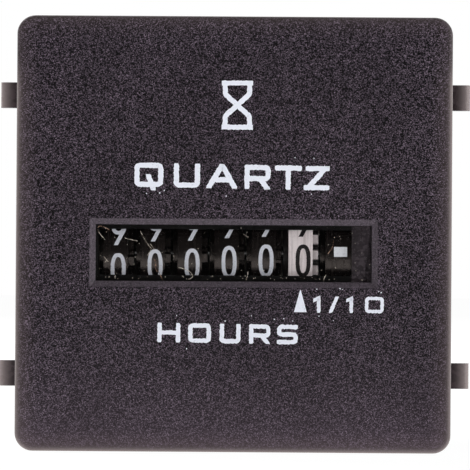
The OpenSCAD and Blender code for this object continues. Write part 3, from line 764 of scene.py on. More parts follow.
@dataclass(frozen=True)
class SheetMetal(Finish):
    """Metal with rolling or drawing lines and a little tarnish.

    Attributes:
        bright: Colour of the bare metal.
        tarnish: Colour of the tarnish.
        roughness: Mean roughness.
        lines: How fine the lines are along each axis.
    """

    bright: Colour
    tarnish: Colour
    roughness: float
    lines: Triple = (1.0, 0.1, 6.0)

    def lay(self, shading: Shading) -> None:
        """Lay the lines and the tarnish on a surface.

        Args:
            shading: Node tree of its material.
        """
        cloud_share, cloud_rough, line_rough = 0.7, 0.12, 0.18
        lines = shading.noise(shading.place(self.lines), size=0.4, detail=4.0)
        cloud = Mottle(1.6, 4.0, 0.45, 0.75).on(shading, shading.at)
        shading.bump(lines, depth=0.004, strength=0.5)
        shading.paint(
            Base_Color=shading.blend(cloud * cloud_share, self.bright, self.tarnish),
            Roughness=self.roughness + (lines - 0.5) * line_rough + cloud * cloud_rough,
            Metallic=1.0,
        )


@dataclass(frozen=True)
class WoundWire(Finish):
    """Enamelled wire wound in close turns along Z.

    Attributes:
        wire: Colour of the wire.
        groove: Colour between two turns.
        pitch: Distance from turn to turn.
    """

    wire: Colour
    groove: Colour
    pitch: float

    def lay(self, shading: Shading) -> None:
        """Lay the turns on a surface.

        Args:
            shading: Node tree of its material.
        """
        groove_rough, polish = 0.45, 0.15
        # At a scale of 1, the bands of a wave texture are a tenth of pi apart.
        scale = math.pi / 10 / self.pitch
        settings = {"wave_type": "BANDS", "bands_direction": "Z"}
        inputs = {"Vector": shading.at, "Scale": scale, "Distortion": 0.6}
        turns = shading.node("TexWave", settings, inputs, output="Fac")
        shading.bump(turns, self.pitch / 3)
        shading.paint(
            Base_Color=shading.blend(turns, self.groove, self.wire),
            Roughness=groove_rough - turns * polish,
            Metallic=0.7,
            Coat_Weight=0.6,
        )


@dataclass(frozen=True)
class SolderResist(Finish):
    """Circuit board with a resist that shows paler tracks below it.

    Attributes:
        resist: Colour of the resist on the bare board.
        track: Colour of the resist on a track.
    """

    resist: Colour
    track: Colour

    def lay(self, shading: Shading) -> None:
        """Lay the tracks and the weave on a surface.

        Args:
            shading: Node tree of its material.
        """
        edge, weave_share, roughness, weave_rough = (0.4, 0.46), 0.2, 0.3, 0.15
        inputs = {"Vector": shading.at, "Scale": 0.3}
        cells = shading.node("TexVoronoi", {"distance": "CHEBYCHEV"}, inputs)
        tracks = shading.between(cells, *edge)
        weave = shading.noise(shading.place((3.0, 1.0, 3.0)), size=0.5)
        shading.bump(tracks + weave * weave_share, depth=0.03)
        shading.paint(
            Base_Color=shading.blend(tracks, self.resist, self.track),
            Roughness=roughness + weave * weave_rough,
        )


FINISHES: dict[Slot, Finish] = {
    Slot.BLACK_MOULDING: BezelPlastic(
        (0.001, 0.0008, 0.001), (0.23, 0.180, 0.232), 0.09, 0.014, 0.5,
        glints=(0.4, 0.93), sparkle=0.45, gloss=0.14,
    ),
    Slot.CLIP_MOULDING: ClipPlastic((0.024, 0.0145, 0.017), (0.053, 0.034, 0.040), 0.4, 0.004, 0.36, 0.08),
    Slot.CLEAR_LENS: ClearPlastic((0.02, 0.02, 0.02), 0.03, 0.5),
    Slot.DARK_FRAME: MaskedPlastic((0.026, 0.020, 0.024), (0.066, 0.052, 0.061), 0.25, 0.008, 0.55, 0.0),
    Slot.BLACK_DRUM: SmoothPlastic(
        (0.003, 0.002, 0.002), (0.010, 0.007, 0.007), 0.24,
        gloss=0.7, sheen=(1.0, 0.86, 0.8),
    ),
    Slot.WHITE_DRUM: DrumPlastic((0.80, 0.73, 0.73), (0.40, 0.35, 0.34), 0.4, marks=0.5),
    Slot.NATURAL_GEAR: SmoothPlastic((0.78, 0.75, 0.68), (0.55, 0.50, 0.42), 0.4),
    Slot.BRASS: SheetMetal((0.80, 0.58, 0.26), (0.42, 0.28, 0.12), 0.28),
    Slot.BRIGHT_STEEL: SheetMetal((0.72, 0.72, 0.73), (0.45, 0.44, 0.43), 0.22),
    Slot.STATOR_IRON: SheetMetal((0.46, 0.47, 0.49), (0.26, 0.25, 0.25), 0.38),
    Slot.MAGNET: SheetMetal((0.15, 0.15, 0.16), (0.07, 0.07, 0.07), 0.55),
    Slot.COPPER_WIRE: WoundWire((0.62, 0.24, 0.09), (0.12, 0.03, 0.01), 0.12),
    Slot.BOARD_GREEN: SolderResist((0.02, 0.11, 0.035), (0.06, 0.24, 0.08)),
    Slot.CRYSTAL_CAN: SheetMetal((0.72, 0.72, 0.71), (0.50, 0.50, 0.48), 0.25),
    Slot.BLACK_PACKAGE: SmoothPlastic((0.014, 0.014, 0.015), (0.06, 0.06, 0.06), 0.5),
    Slot.CAPACITOR_SLEEVE: SmoothPlastic((0.012, 0.02, 0.07), (0.06, 0.07, 0.1), 0.25),
    Slot.RESISTOR_LACQUER: SmoothPlastic((0.52, 0.40, 0.22), (0.36, 0.27, 0.14), 0.3),
    Slot.TINNED_BRASS: SheetMetal((0.70, 0.68, 0.63), (0.48, 0.45, 0.38), 0.24),
}
FACE_INK = PrintedInk((0.78, 0.81, 0.89), (0.60, 0.62, 0.69))
DRUM_INK = PrintedInk((0.62, 0.64, 0.70), (0.38, 0.40, 0.44), 0.5)
BAR_INK = PrintedInk((0.80, 0.83, 0.87), (0.60, 0.62, 0.66), 0.5)
SIGN_PLASTIC = SmoothPlastic((0.16, 0.15, 0.155), (0.24, 0.22, 0.22), 0.3)
DARK_INK = PrintedInk((0.012, 0.010, 0.010), (0.10, 0.09, 0.09), 0.5)
PALE_FLUFF = Fluff((0.62, 0.57, 0.50), (0.24, 0.20, 0.16))
BROWN_FLUFF = Fluff((0.36, 0.24, 0.18), (0.12, 0.07, 0.05))


# Pen strokes


@dataclass(frozen=True)
class Stroke:
    """Middle line of a pen stroke, on a box from -1 to 1 each way.

    A corner's third number, if it has one, is its radius as a share of the box's half width.
    """

    corners: tuple[Corner, ...]
    closed: bool = False

    def turned(self) -> "Stroke":
        """The stroke after half a turn."""
        return Stroke(tuple((-c[0], -c[1], *c[2:]) for c in self.corners), self.closed)

    def line(self, half_w: float, half_h: float, reach: float, step: float) -> list[complex]:
        """Points of the middle line in millimetres.

        Args:
            half_w: Half of the box's width.
            half_h: Half of the box's height.
            reach: How far open ends run on past their last corner.
            step: Longest distance between two points.

        Returns:
            The points, with no repeat at the end of a closed line.
        """
        spots = [complex(c[0] * half_w, c[1] * half_h) for c in self.corners]
        radii = [c[2] * half_w if len(c) > 2 else 0.0 for c in self.corners]
        if not self.closed:
            spots[0] += reach * level(unit(spots[0] - spots[1]))
            spots[-1] += reach * level(unit(spots[-1] - spots[-2]))
        points: list[complex] = []
        for i, (spot, radius) in enumerate(zip(spots, radii)):
            if radius:
                points += corner_arc(spots[i - 1], spot, spots[(i + 1) % len(spots)], radius, step)
            else:
                points.append(spot)
        return subdivided(points, self.closed, step)


def unit(span: complex) -> complex:
    """Direction of a span."""
    return span / abs(span)


def level(way: complex) -> complex:
    """A direction drawn out until its larger part is 1."""
    return way / max(abs(way.real), abs(way.imag))


def corner_arc(before: complex, at: complex, after: complex, radius: float, step: float) -> list[complex]:
    """Arc that rounds a corner.

    Args:
        before: Corner before this one.
        at: The corner.
        after: Corner after this one.
        radius: Radius of the arc.
        step: Longest distance between two points.

    Returns:
        Points from one tangent point to the other.
    """
    inward, outward = unit(before - at), unit(after - at)
    half = abs(cmath.phase(outward / inward)) / 2
    centre = at + unit(inward + outward) * radius / math.sin(half)
    start = at + inward * radius / math.tan(half) - centre
    end = at + outward * radius / math.tan(half) - centre
    sweep = cmath.phase(end / start)
    count = max(3, math.ceil(abs(sweep) * radius / step))
    return [centre + start * cmath.exp(1j * sweep * i / count) for i in range(count + 1)]


def subdivided(points: Sequence[complex], closed: bool, step: float) -> list[complex]:
    """Add points to a line.

    Args:
        points: Its points.
        closed: Whether it is closed.
        step: Longest distance between two points.

    Returns:
        All points, with no repeat at the end of a closed line.
    """
    out: list[complex] = []
    ends = list(points[1:]) + ([points[0]] if closed else [])
    for a, b in zip(points, ends):
        if abs(b - a) < TINY:
            continue
        count = max(1, math.ceil(abs(b - a) / step))
        out += [a + (b - a) * i / count for i in range(count)]
    return out if closed else out + [points[-1]]


@dataclass(frozen=True)
class Pen:
    """A pen that lays flat ribbons of ink.

    Attributes:
        width: Width of a stroke.
        ink: Height of the ink above the surface.
        sink: How far the ribbon's underside lies below the surface.
        step: Longest distance between two points.
        wobble: How far the edges stray.
        tip: Share of the width that is left at an open end.
        lift: How much higher each line lies than the one before it, so that crossings show no seam.
        lifts: After how many lines that starts again.
    """

    width: float
    ink: float = 0.02
    sink: float = 0.01
    step: float = 0.2
    wobble: float = 0.0
    tip: float = 1.0
    lift: float = 0.0015
    lifts: int = 4

    def mesh(self, name: str, lines: Iterable[Line]) -> Piece:
        """Draw lines as closed ribbons in one mesh.

        Args:
            name: Name of the piece.
            lines: Each line's points, whether it is closed, and where it lies.

        Returns:
            The new object.
        """
        stray = random.Random(name)
        work = bmesh.new()
        for layer, (points, closed, place) in enumerate(lines):
            top = self.ink + self.lift * (layer % self.lifts)
            rings = []
            ends = () if closed else (0, len(points) - 1)
            for i, (point, side) in enumerate(zip(points, edge_offsets(points, closed))):
                half = self.width / 2 * (self.tip if i in ends else 1.0)
                left = point + side * (half + stray.uniform(-1, 1) * self.wobble)
                right = point - side * (half + stray.uniform(-1, 1) * self.wobble)
                ring = ((left, top), (right, top), (right, -self.sink), (left, -self.sink))
                rings.append([work.verts.new(place(p, height) * MM) for p, height in ring])
            pairs = list(zip(rings, rings[1:])) + ([(rings[-1], rings[0])] if closed else [])
            for a, b in pairs:
                for i in range(len(a)):
                    j = (i + 1) % len(a)
                    work.faces.new((a[i], a[j], b[j], b[i]))
            if not closed:
                work.faces.new(rings[0])
                work.faces.new(rings[-1])
        bmesh.ops.recalc_face_normals(work, faces=work.faces)
        return finished(name, work)


def edge_offsets(points: Sequence[complex], closed: bool, longest_mitre: float = 1.8) -> list[complex]:
    """Find the way from the points of a line to its left edge.

    Args:
        points: The line's points.
        closed: Whether it is closed.
        longest_mitre: Longest way at a corner.

    Returns:
        A vector for each point, for a half width of 1.
    """
    sides = []
    for i, point in enumerate(points):
        before = points[i - 1] if i or closed else None
        after = points[(i + 1) % len(points)] if closed or i + 1 < len(points) else None
        normals = [1j * unit(point - before)] if before is not None else []
        normals += [1j * unit(after - point)] if after is not None else []
        whole = sum(normals) / len(normals)
        mitre = whole / max(abs(whole) ** 2, TINY)
        if len(normals) == 1:
            mitre = end_cut(whole)
        sides.append(mitre * min(1.0, longest_mitre / abs(mitre)))
    return sides


def end_cut(normal: complex) -> complex:
    """Vector to the left edge at an end that is cut level or upright, whichever is nearer to square."""
    if abs(normal.real) > abs(normal.imag):
        return complex(1 / normal.real, 0)
    return complex(0, 1 / normal.imag)


def placed(
    strokes: Iterable[Stroke], half_w: float, half_h: float, pen: Pen, place: Place, overrun: float = 0.5
) -> list[Line]:
    """Lay out a drawing for a pen.

    Args:
        strokes: The drawing.
        half_w: Half of its width between the middle lines of its strokes.
        half_h: Half of its height likewise.
        pen: The pen.
        place: Where the drawing lies.
        overrun: How far open ends run on, in widths of the pen.

    Returns:
        The pen's lines.
    """
    reach = pen.width * overrun
    return [(stroke.line(half_w, half_h, reach, pen.step), stroke.closed, place) for stroke in strokes]


def finished(name: str, work: bmesh.types.BMesh) -> Piece:
    """Turn a work mesh into an object in the scene.

    Args:
        name: Name of the object.
        work: The mesh, which is used up.

    Returns:
        The object.
    """
    mesh = bpy.data.meshes.new(name)
    work.to_mesh(mesh)
    work.free()
    made = bpy.data.objects.new(name, mesh)
    bpy.context.scene.collection.objects.link(made)
    return made


def loop(low: float, high: float, half: float, radius: float) -> Stroke:
    """Closed upright ring between two heights of the box."""
    corners = ((-half, low, radius), (half, low, radius), (half, high, radius), (-half, high, radius))
    return Stroke(corners, True)


def oval(low: float, high: float, half: float, power: float = 2.5, count: int = 40) -> Stroke:
    """Draw a closed oval.

    Args:
        low: Its lowest height on the box.
        high: Its highest height on the box.
        half: Half of its width.
        power: How square it is, where 2 is an ellipse.
        count: How many points it has.

    Returns:
        The stroke.
    """
    middle, tall = (low + high) / 2, (high - low) / 2
    turns = [cmath.exp(2j * math.pi * i / count) for i in range(count)]
    bulge = [turn / (abs(turn.real) ** power + abs(turn.imag) ** power) ** (1 / power) for turn in turns]
    return Stroke(tuple((half * b.real, middle + tall * b.imag) for b in bulge), True)


NINE = (oval(-0.25, 1, 1), Stroke(((1, 0.42), (1, -0.04, 0.5), (-0.27, -1))))
DIGITS: tuple[tuple[Stroke, ...], ...] = (
    (oval(-1, 1, 1),),
    (Stroke(((-0.5, 0.62), (0.15, 1), (0.15, -1))),),
    (Stroke(((-1, 0.5), (-1, 1, 1), (1, 1, 1), (1, 0.2, 0.7), (-1, -1), (1, -1))),),
    (
        Stroke(((-1, 0.6), (-1, 1, 1), (1, 1, 1), (1, 0.05, 0.8), (-0.1, 0.05))),
        Stroke(((-0.1, 0.05), (1, 0.05, 0.8), (1, -1, 1), (-1, -1, 1), (-1, -0.6))),
    ),
    (Stroke(((0.35, -1), (0.35, 1), (-1, -0.4), (1, -0.4))),),
    (Stroke(((0.9, 1), (-0.85, 1), (-0.95, 0.15), (1, 0.15, 0.9), (1, -1, 1), (-1, -1, 1), (-1, -0.6))),),
    tuple(stroke.turned() for stroke in NINE),
    (Stroke(((-1, 1), (1, 1), (-0.3, -1))),),
    (oval(0.05, 1, 0.85), oval(-1, 0.05, 1)),
    NINE,
)
SQUARE_RING = loop(-1, 1, 1, 0.27)
GLYPHS: dict[str, tuple[Stroke, ...]] = {
    "A": (Stroke(((-0.94, -1), (-0.08, 1), (0.08, 1), (0.94, -1))), Stroke(((-0.5, -0.38), (0.5, -0.38)))),
    "H": (Stroke(((-1, -1), (-1, 1))), Stroke(((1, -1), (1, 1))), Stroke(((-0.8, 0), (0.8, 0)))),
    "O": (SQUARE_RING,),
    "Q": (SQUARE_RING, Stroke(((0.0, -0.2), (0.36, -1.35)))),
    "R": (
        Stroke(((-1, -1), (-1, 1))),
        Stroke(((-0.9, 1), (1, 1, 0.3), (1, -0.18, 0.3), (-0.7, -0.18))),
        Stroke(((0.25, -0.2), (0.82, -1))),
    ),
    "S": (Stroke(((1, 1), (-1, 1, 0.3), (-1, 0, 0.3), (1, 0, 0.3), (1, -1, 0.3), (-1, -1))),),
    "T": (Stroke(((-1, 1), (1, 1))), Stroke(((0, 0.9), (0, -1)))),
    "U": (Stroke(((-1, 1), (-1, -1, 0.27), (1, -1, 0.27), (1, 1))),),
    "Z": (Stroke(((-0.84, 1), (1, 1))), Stroke(((0.8, 1), (-0.8, -1))), Stroke(((-1, -1), (1, -1)))),
    "1": (Stroke(((-0.9, 0.72), (1, 1), (1, -1))),),
    "0": (SQUARE_RING,),
    "/": (Stroke(((-1, -1), (1, 1))),),
}
HOURGLASS = (
    Stroke(((-1, 1), (1, 1))),
    Stroke(((-1, -1), (1, -1))),
    Stroke(((-0.78, 0.9), (-0.78, 0.5, 0.3), (0.78, -0.5, 0.3), (0.78, -0.9))),
    Stroke(((0.78, 0.9), (0.78, 0.5, 0.3), (-0.78, -0.5, 0.3), (-0.78, -0.9))),
)


# Sub-assemblies


@dataclass
class FaceLine:
    """A line of generic lettering.

    Attributes:
        text: Its letters.
        edges: Left and right edge of each letter.
        middle_z: Height of the line's middle.
        cap: Height of the letters.
        pen: Width of the strokes.
        tilt: How far the line falls to the right, in degrees.
    """

    text: str
    edges: tuple[Span, ...]
    middle_z: float
    cap: float
    pen: float
    tilt: float = 0.0


@dataclass
class FacePrint:
    """White print on the bezel's face: what is counted, how, and which drum shows tenths.

    Attributes:
        lines: The lines of lettering.
        step: Longest distance between two points of a letter.
        wobble: How far the edges of the print stray.
        tip: Share of a letter's stroke that is left at its ends.
        fleck_w: Width of a fleck of ink.
        fleck_l: Shortest and longest fleck.
        fleck_gap: Least and greatest distance of a fleck from the lettering.
        flecks: How many flecks a line has.
        seed: Seed of the flecks.
        pointer_x: Middle of the pointer.
        pointer_top: Height of its tip.
        pointer_low: Height of its base.
        pointer_w: Width of its base.
        pointer_tip: Width of its tip.
        glass_at: Middle of the hourglass.
        glass_w: Width of the hourglass.
        glass_h: Height of the hourglass.
        glass_pen: Width of its strokes.
    """

    lines: tuple[FaceLine, ...] = (
        FaceLine(
            "QUARTZ",
            ((-10.98, -7.79), (-6.65, -3.76), (-3.03, 0.35), (1.14, 4.01), (4.47, 7.45), (7.67, 10.50)),
            middle_z=6.34, cap=2.67, pen=0.57, tilt=0.75,
        ),
        FaceLine(
            "HOURS",
            ((-8.33, -5.81), (-4.93, -2.43), (-1.48, 0.82), (1.76, 4.11), (4.83, 7.11)),
            middle_z=-10.94, cap=2.15, pen=0.48, tilt=0.55,
        ),
        FaceLine(
            "1/10",
            ((8.77, 9.58), (10.56, 11.54), (12.40, 13.17), (14.49, 16.55)),
            middle_z=-7.68, cap=1.80, pen=0.38,
        ),
    )
    step: float = 0.15
    wobble: float = 0.04
    tip: float = 0.7
    fleck_w: float = 0.11
    fleck_l: Span = (0.05, 0.16)
    fleck_gap: Span = (0.15, 0.9)
    flecks: int = 7
    seed: int = 3
    pointer_x: float = 7.38
    pointer_top: float = -6.1
    pointer_low: float = -8.53
    pointer_w: float = 1.40
    pointer_tip: float = 0.08
    glass_at: complex = 0.3 + 14.2j
    glass_w: float = 4.0
    glass_h: float = 5.4
    glass_pen: float = 0.55

    def build(self) -> list[Piece]:
        """Draw the lettering, the pointer, the hourglass sign and stray flecks of ink.

        Returns:
            The new pieces.
        """
        pieces = [self.lettering(line) for line in self.lines]
        pieces += [self.pointer(), self.hourglass(), self.stray_ink()]
        ink = FACE_INK.make("face_ink")
        for piece in pieces:
            dress(piece, ink, Body.CASE.value)
        return pieces

    def lettering(self, line: FaceLine) -> Piece:
        """Draw one line of lettering.

        Args:
            line: The line.

        Returns:
            The new piece.
        """
        pen = Pen(line.pen, step=self.step, wobble=self.wobble, tip=self.tip)
        turn = cmath.exp(-1j * math.radians(line.tilt))
        half_h = (line.cap - line.pen) / 2
        strokes = []
        for letter, (x0, x1) in zip(line.text, line.edges):
            place = on_face(complex(0, line.middle_z) + (x0 + x1) / 2 * turn, line.tilt)
            half_w = (x1 - x0 - line.pen) / 2
            strokes += placed(GLYPHS[letter], half_w, half_h, pen, place)
        return pen.mesh("print_" + line.text.replace("/", "_").lower(), strokes)

    def pointer(self) -> Piece:
        """Draw the slim triangle that points at the tenths drum.

        Returns:
            The new piece.
        """
        place = on_face(complex(self.pointer_x, self.pointer_low))
        height = self.pointer_top - self.pointer_low
        half, tip = self.pointer_w / 2, self.pointer_tip / 2
        outline = (complex(-half, 0), complex(half, 0), complex(tip, height), complex(-tip, height))
        pen = Pen(self.pointer_w)
        work = bmesh.new()
        ends = [[work.verts.new(place(p, h) * MM) for p in outline] for h in (pen.ink, -pen.sink)]
        for end in ends:
            work.faces.new(end)
        for i in range(len(outline)):
            j = (i + 1) % len(outline)
            work.faces.new((ends[0][i], ends[0][j], ends[1][j], ends[1][i]))
        bmesh.ops.recalc_face_normals(work, faces=work.faces)
        return finished("print_pointer", work)

    def stray_ink(self) -> Piece:
        """Draw flecks that the screen left above and below the lettering.

        Returns:
            The new piece.
        """
        stray = random.Random(self.seed)
        place = on_face(0j)
        flecks = []
        for line in self.lines:
            left, right = line.edges[0][0], line.edges[-1][1]
            for _ in range(self.flecks):
                away = stray.choice((-1, 1)) * (line.cap / 2 + stray.uniform(*self.fleck_gap))
                start = complex(stray.uniform(left, right), line.middle_z + away)
                fleck = cmath.rect(stray.uniform(*self.fleck_l), stray.uniform(0, math.pi))
                flecks.append(([start, start + fleck], False, place))
        return Pen(self.fleck_w, wobble=self.wobble / 2).mesh("print_flecks", flecks)

    def hourglass(self) -> Piece:
        """Draw the common sign for elapsed hours where the face has room above the lettering.

        Returns:
            The new piece.
        """
        pen = Pen(self.glass_pen, wobble=self.wobble)
        half_w = (self.glass_w - self.glass_pen) / 2
        half_h = (self.glass_h - self.glass_pen) / 2
        lines = placed(HOURGLASS, half_w, half_h, pen, on_face(self.glass_at), overrun=0.0)
        return pen.mesh("print_hourglass", lines)


def on_face(middle: complex, tilt: float = 0.0) -> Place:
    """Map from a drawing's plane to the face.

    Args:
        middle: Where the drawing's middle lies.
        tilt: How far the drawing falls to the right, in degrees.

    Returns:
        The map.
    """
    turn = cmath.exp(-1j * math.radians(tilt))

    def place(point: complex, height: float) -> Vector:
        """Place of a point of the drawing at a height above the face."""
        spot = middle + point * turn
        return Vector((spot.real, FACE_Y - height, spot.imag))

    return place


@dataclass
class NumberDrum:
    """The digits on one number drum.

    Attributes:
        drum: Which drum it is.
        roll: How far its nought sits below level, in degrees.
        digit_w: Width of a digit.
        digit_h: Height of a digit.
        pen: Width of the strokes.
        inset: Distance from the drum's right end to the digits' middle.
    """

    drum: Drum
    roll: float
    digit_w: float = 1.67
    digit_h: float = 3.65
    pen: float = 0.42
    inset: float = 1.68

    def build(self, ink: Material) -> Piece:
        """Print the digits round the drum.

        Args:
            ink: Material of the print.

        Returns:
            The new piece.
        """
        low, high = box_mm("drum_" + self.drum.value)
        radius = (high.z - low.z) / 2
        middle = Vector((high.x - self.inset, (low.y + high.y) / 2, (low.z + high.z) / 2))
        pen = Pen(self.pen, ink=DRUM_INK_T, step=0.25, wobble=0.012)
        half_w = (self.digit_w - self.pen) / 2
        half_h = (self.digit_h - self.pen) / 2
        turn = 360 / len(DIGITS)
        lines = []
        for digit, strokes in enumerate(DIGITS):
            place = on_cylinder(middle, radius, FRONT + self.roll + turn * digit)
            lines += placed(strokes, half_w, half_h, pen, place)
        piece = pen.mesh("digits_" + self.drum.value, lines)
        return dress(piece, ink, self.drum.value)


def on_cylinder(middle: Vector, radius: float, angle: float) -> Place:
    """Map from a drawing's plane to a drum, upright as seen from outside.

    Args:
        middle: Point of the drum's axis that the drawing's middle faces.
        radius: Radius of the drum.
        angle: Angle of the drawing's middle in degrees, from +Y towards +Z.

    Returns:
        The map.
    """

    def place(point: complex, height: float) -> Vector:
        """Place of a point of the drawing at a height above the drum."""
        turn = math.radians(angle) - point.imag / radius
        reach = radius + height
        return middle + Vector((point.real, reach * math.cos(turn), reach * math.sin(turn)))

    return place


@dataclass
class RunIndicator:
    """White bars round the run indicator, one of which shows at rest.

    Attributes:
        bar_x: Middle of the bars.
        bar_w: Width of a bar.
        bar_h: Height of a bar.
        rise: Angle of the showing bar above level, in degrees.
        count: How many bars go round.
    """

    bar_x: float = 11.83
    bar_w: float = 1.46
    bar_h: float = 1.10
    rise: float = 1.2
    count: int = 10

    def build(self) -> Piece:
        """Print the bars round the drum.

        Returns:
            The new piece.
        """
        low, high = box_mm("run_indicator_drum")
        middle = Vector((self.bar_x, (low.y + high.y) / 2, (low.z + high.z) / 2))
        radius = (high.z - low.z) / 2
        pen = Pen(self.bar_w, ink=DRUM_INK_T)
        bar = subdivided((complex(0, -self.bar_h / 2), complex(0, self.bar_h / 2)), False, pen.step)
        turn = 360 / self.count
        lines = []
        for i in range(self.count):
            lines.append((bar, False, on_cylinder(middle, radius, FRONT - self.rise + turn * i)))
        piece = pen.mesh("indicator_bars", lines)
        return dress(piece, BAR_INK.make("indicator_ink"), Body.INDICATOR.value)


@dataclass
class WindowLint:
    """Fibres and specks that have settled on the window.

    Attributes:
        lens_y: Y of the window's front.
        thread: Width of a fibre.
        pale: Routes of the pale fibres.
        brown: Routes of the brown fibres.
        specks: Places of the larger specks.
        speck: Shortest and longest speck.
        reach_x: How far the specks lie to each side.
        reach_z: Lowest and highest of the strewn specks.
        sprinkle: How many are strewn.
        row_z: Height of the row of specks at the bottom.
        row_reach: How far the row's specks lie below and above that.
        row_count: How many the row has.
        seed: Seed of the specks.
    """

    lens_y: float
    thread: float = 0.05
    pale: tuple[tuple[complex, ...], ...] = (
        (-15.0 + 0.4j, -14.8 + 0.0j, -14.2 - 0.7j),
        (-14.3 - 2.6j, -14.1 - 2.8j, -13.9 - 3.1j),
        (-14.2 - 3.2j, -14.0 - 3.0j, -13.8 - 3.1j),
        (-6.1 - 3.7j, -5.6 - 3.8j),
        (-5.7 - 3.8j, -4.9 - 4.1j, -4.5 - 4.6j, -4.7 - 4.9j, -5.0 - 5.0j),
        (9.9 - 5.1j, 10.0 - 4.8j, 10.2 - 4.4j),
        (-12.0 - 0.5j, -11.2 - 0.7j, -10.6 - 0.8j),
        (-10.3 + 0.3j, -9.9 - 0.5j, -9.3 - 1.4j, -9.1 - 1.7j, -9.5 - 2.4j),
        (-9.2 - 1.1j, -8.7 - 1.8j),
        (1.1 + 0.0j, 1.6 - 0.3j),
        (1.6 - 4.1j, 1.5 - 4.7j, 1.4 - 5.1j),
    )
    brown: tuple[tuple[complex, ...], ...] = (
        (-15.0 + 0.6j, -14.8 + 0.8j, -14.3 + 0.7j, -13.6 + 0.3j),
        (-8.8 - 2.7j, -8.6 - 3.2j, -8.65 - 3.7j, -8.4 - 4.2j),
        (-8.7 - 2.9j, -8.55 - 3.4j, -8.6 - 3.9j),
        (-8.3 - 4.1j, -7.8 - 5.1j),
        (11.0 - 0.6j, 10.9 - 1.3j, 10.4 - 2.1j),
    )
    specks: tuple[complex, ...] = (
        -10.8 - 2.65j, -14.9 - 1.45j, -10.4 - 1.1j, 11.7 - 0.2j, 10.4 - 1.1j, 9.1 - 4.9j, 11.3 - 3.65j,
        9.3 - 4.0j, 7.4 - 4.8j, 13.0 + 0.2j, 14.1 - 2.0j, 13.4 - 3.1j, 15.0 - 3.3j, -2.8 - 5.0j, 5.2 - 4.8j,
    )
    speck: Span = (0.07, 0.14)
    reach_x: float = 14.8
    reach_z: Span = (-4.8, 0.8)
    sprinkle: int = 40
    row_z: float = -4.95
    row_reach: Span = (-0.1, 0.35)
    row_count: int = 40
    seed: int = 7

    def build(self) -> list[Piece]:
        """Lay the lint on the window.

        Returns:
            The new pieces.
        """
        stray = random.Random(self.seed)
        bits = list(self.specks)
        row = tuple(self.row_z + reach for reach in self.row_reach)
        for count, heights in ((self.row_count, row), (self.sprinkle, self.reach_z)):
            for _ in range(count):
                bits.append(complex(stray.uniform(-self.reach_x, self.reach_x), stray.uniform(*heights)))
        specks = [(s, s + cmath.rect(stray.uniform(*self.speck), stray.uniform(0, math.pi))) for s in bits]
        pen = Pen(self.thread, ink=0.05, sink=0.0, step=0.1, wobble=0.02)
        pieces = []
        for name, finish, routes in (
            ("lint_pale", PALE_FLUFF, [*self.pale, *specks]),
            ("lint_brown", BROWN_FLUFF, self.brown),
        ):
            lines = [(curved(route), False, self.on_lens) for route in routes]
            pieces.append(dress(pen.mesh(name, lines), finish.make(name), Body.CASE.value))
        return pieces

    def on_lens(self, point: complex, height: float) -> Vector:
        """Place of a point on the lens at a height above it."""
        return Vector((point.real, self.lens_y - height, point.imag))


def curved(route: Sequence[complex], steps: int = 5) -> list[complex]:
    """Draw a smooth curve through the points of a route.

    Args:
        route: The points.
        steps: How many steps lead from each to the next.

    Returns:
        Points of the curve.
    """
    ends = [2 * route[0] - route[1], *route, 2 * route[-1] - route[-2]]
    out = []
    for a, b, c, d in zip(ends, ends[1:], ends[2:], ends[3:]):
        for i in range(steps):
            t = i / steps
            bend = (2 * a - 5 * b + 4 * c - d) * t + (3 * b - a - 3 * c + d) * t * t
            out.append(b + t / 2 * (c - a + bend))
    return [*out, route[-1]]


@dataclass
class PolarityMarks:
    """Moulded plus and minus signs beside the blades, on the plate below the blades' collars.

    Attributes:
        collar: Height of the collars above the plate.
        rise: Height of a sign.
        length: Length of its bars.
        pen: Width of its bars.
        above: How high it is above the blades' middle.
    """

    collar: float = 1.0
    rise: float = 0.25
    length: float = 2.4
    pen: float = 0.55
    above: float = 6.0

    def build(self) -> list[Piece]:
        """Mould the signs on the rear cover.

        Returns:
            The new pieces.
        """
        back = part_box("rear_cover")[1].y / MM - self.collar
        half = self.length / 2
        bar = [complex(-half, 0), complex(half, 0)]
        plastic = SIGN_PLASTIC.make("sign_plastic")
        pieces = []
        for sign, lines in (("positive", (bar, [1j * p for p in bar])), ("negative", (bar,))):
            low, high = box_mm("terminal_" + sign)
            at = Vector(((low.x + high.x) / 2, back, self.above))

            def on_cover(point: complex, height: float, at: Vector = at) -> Vector:
                """Place of a point of the sign at a height above the cover."""
                return at + Vector((point.real, height, point.imag))

            pen = Pen(self.pen, ink=self.rise, sink=0.05)
            piece = pen.mesh("sign_" + sign, [(line, False, on_cover) for line in lines])
            pieces.append(dress(piece, plastic, Body.CASE.value))
        return pieces


def dress(piece: Piece, finish: Material, body: str) -> Piece:
    """Give a new piece its finish and let it ride on a body.

    Args:
        piece: The piece.
        finish: Its material.
        body: Name of the body that carries it.

    Returns:
        The piece.
    """
    piece.data.materials.append(finish)
    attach(piece, body)
    return piece


@dataclass
class Solids:
    """The solids of the frame, each with the finish of its material slot.

    Attributes:
        record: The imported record.
    """

    record: dict

    def build(self) -> None:
        """Dress every solid."""
        made = {slot: finish.make(slot.value) for slot, finish in FINISHES.items()}
        for row in self.record["subparts"]:
            node = frame["nodes"][row["node"]]
            node.data.materials.clear()
            node.data.materials.append(made[Slot(row["material_slot"])])
            LOG.info("solid %s has the finish %s", row["node"], row["material_slot"])


# Studio


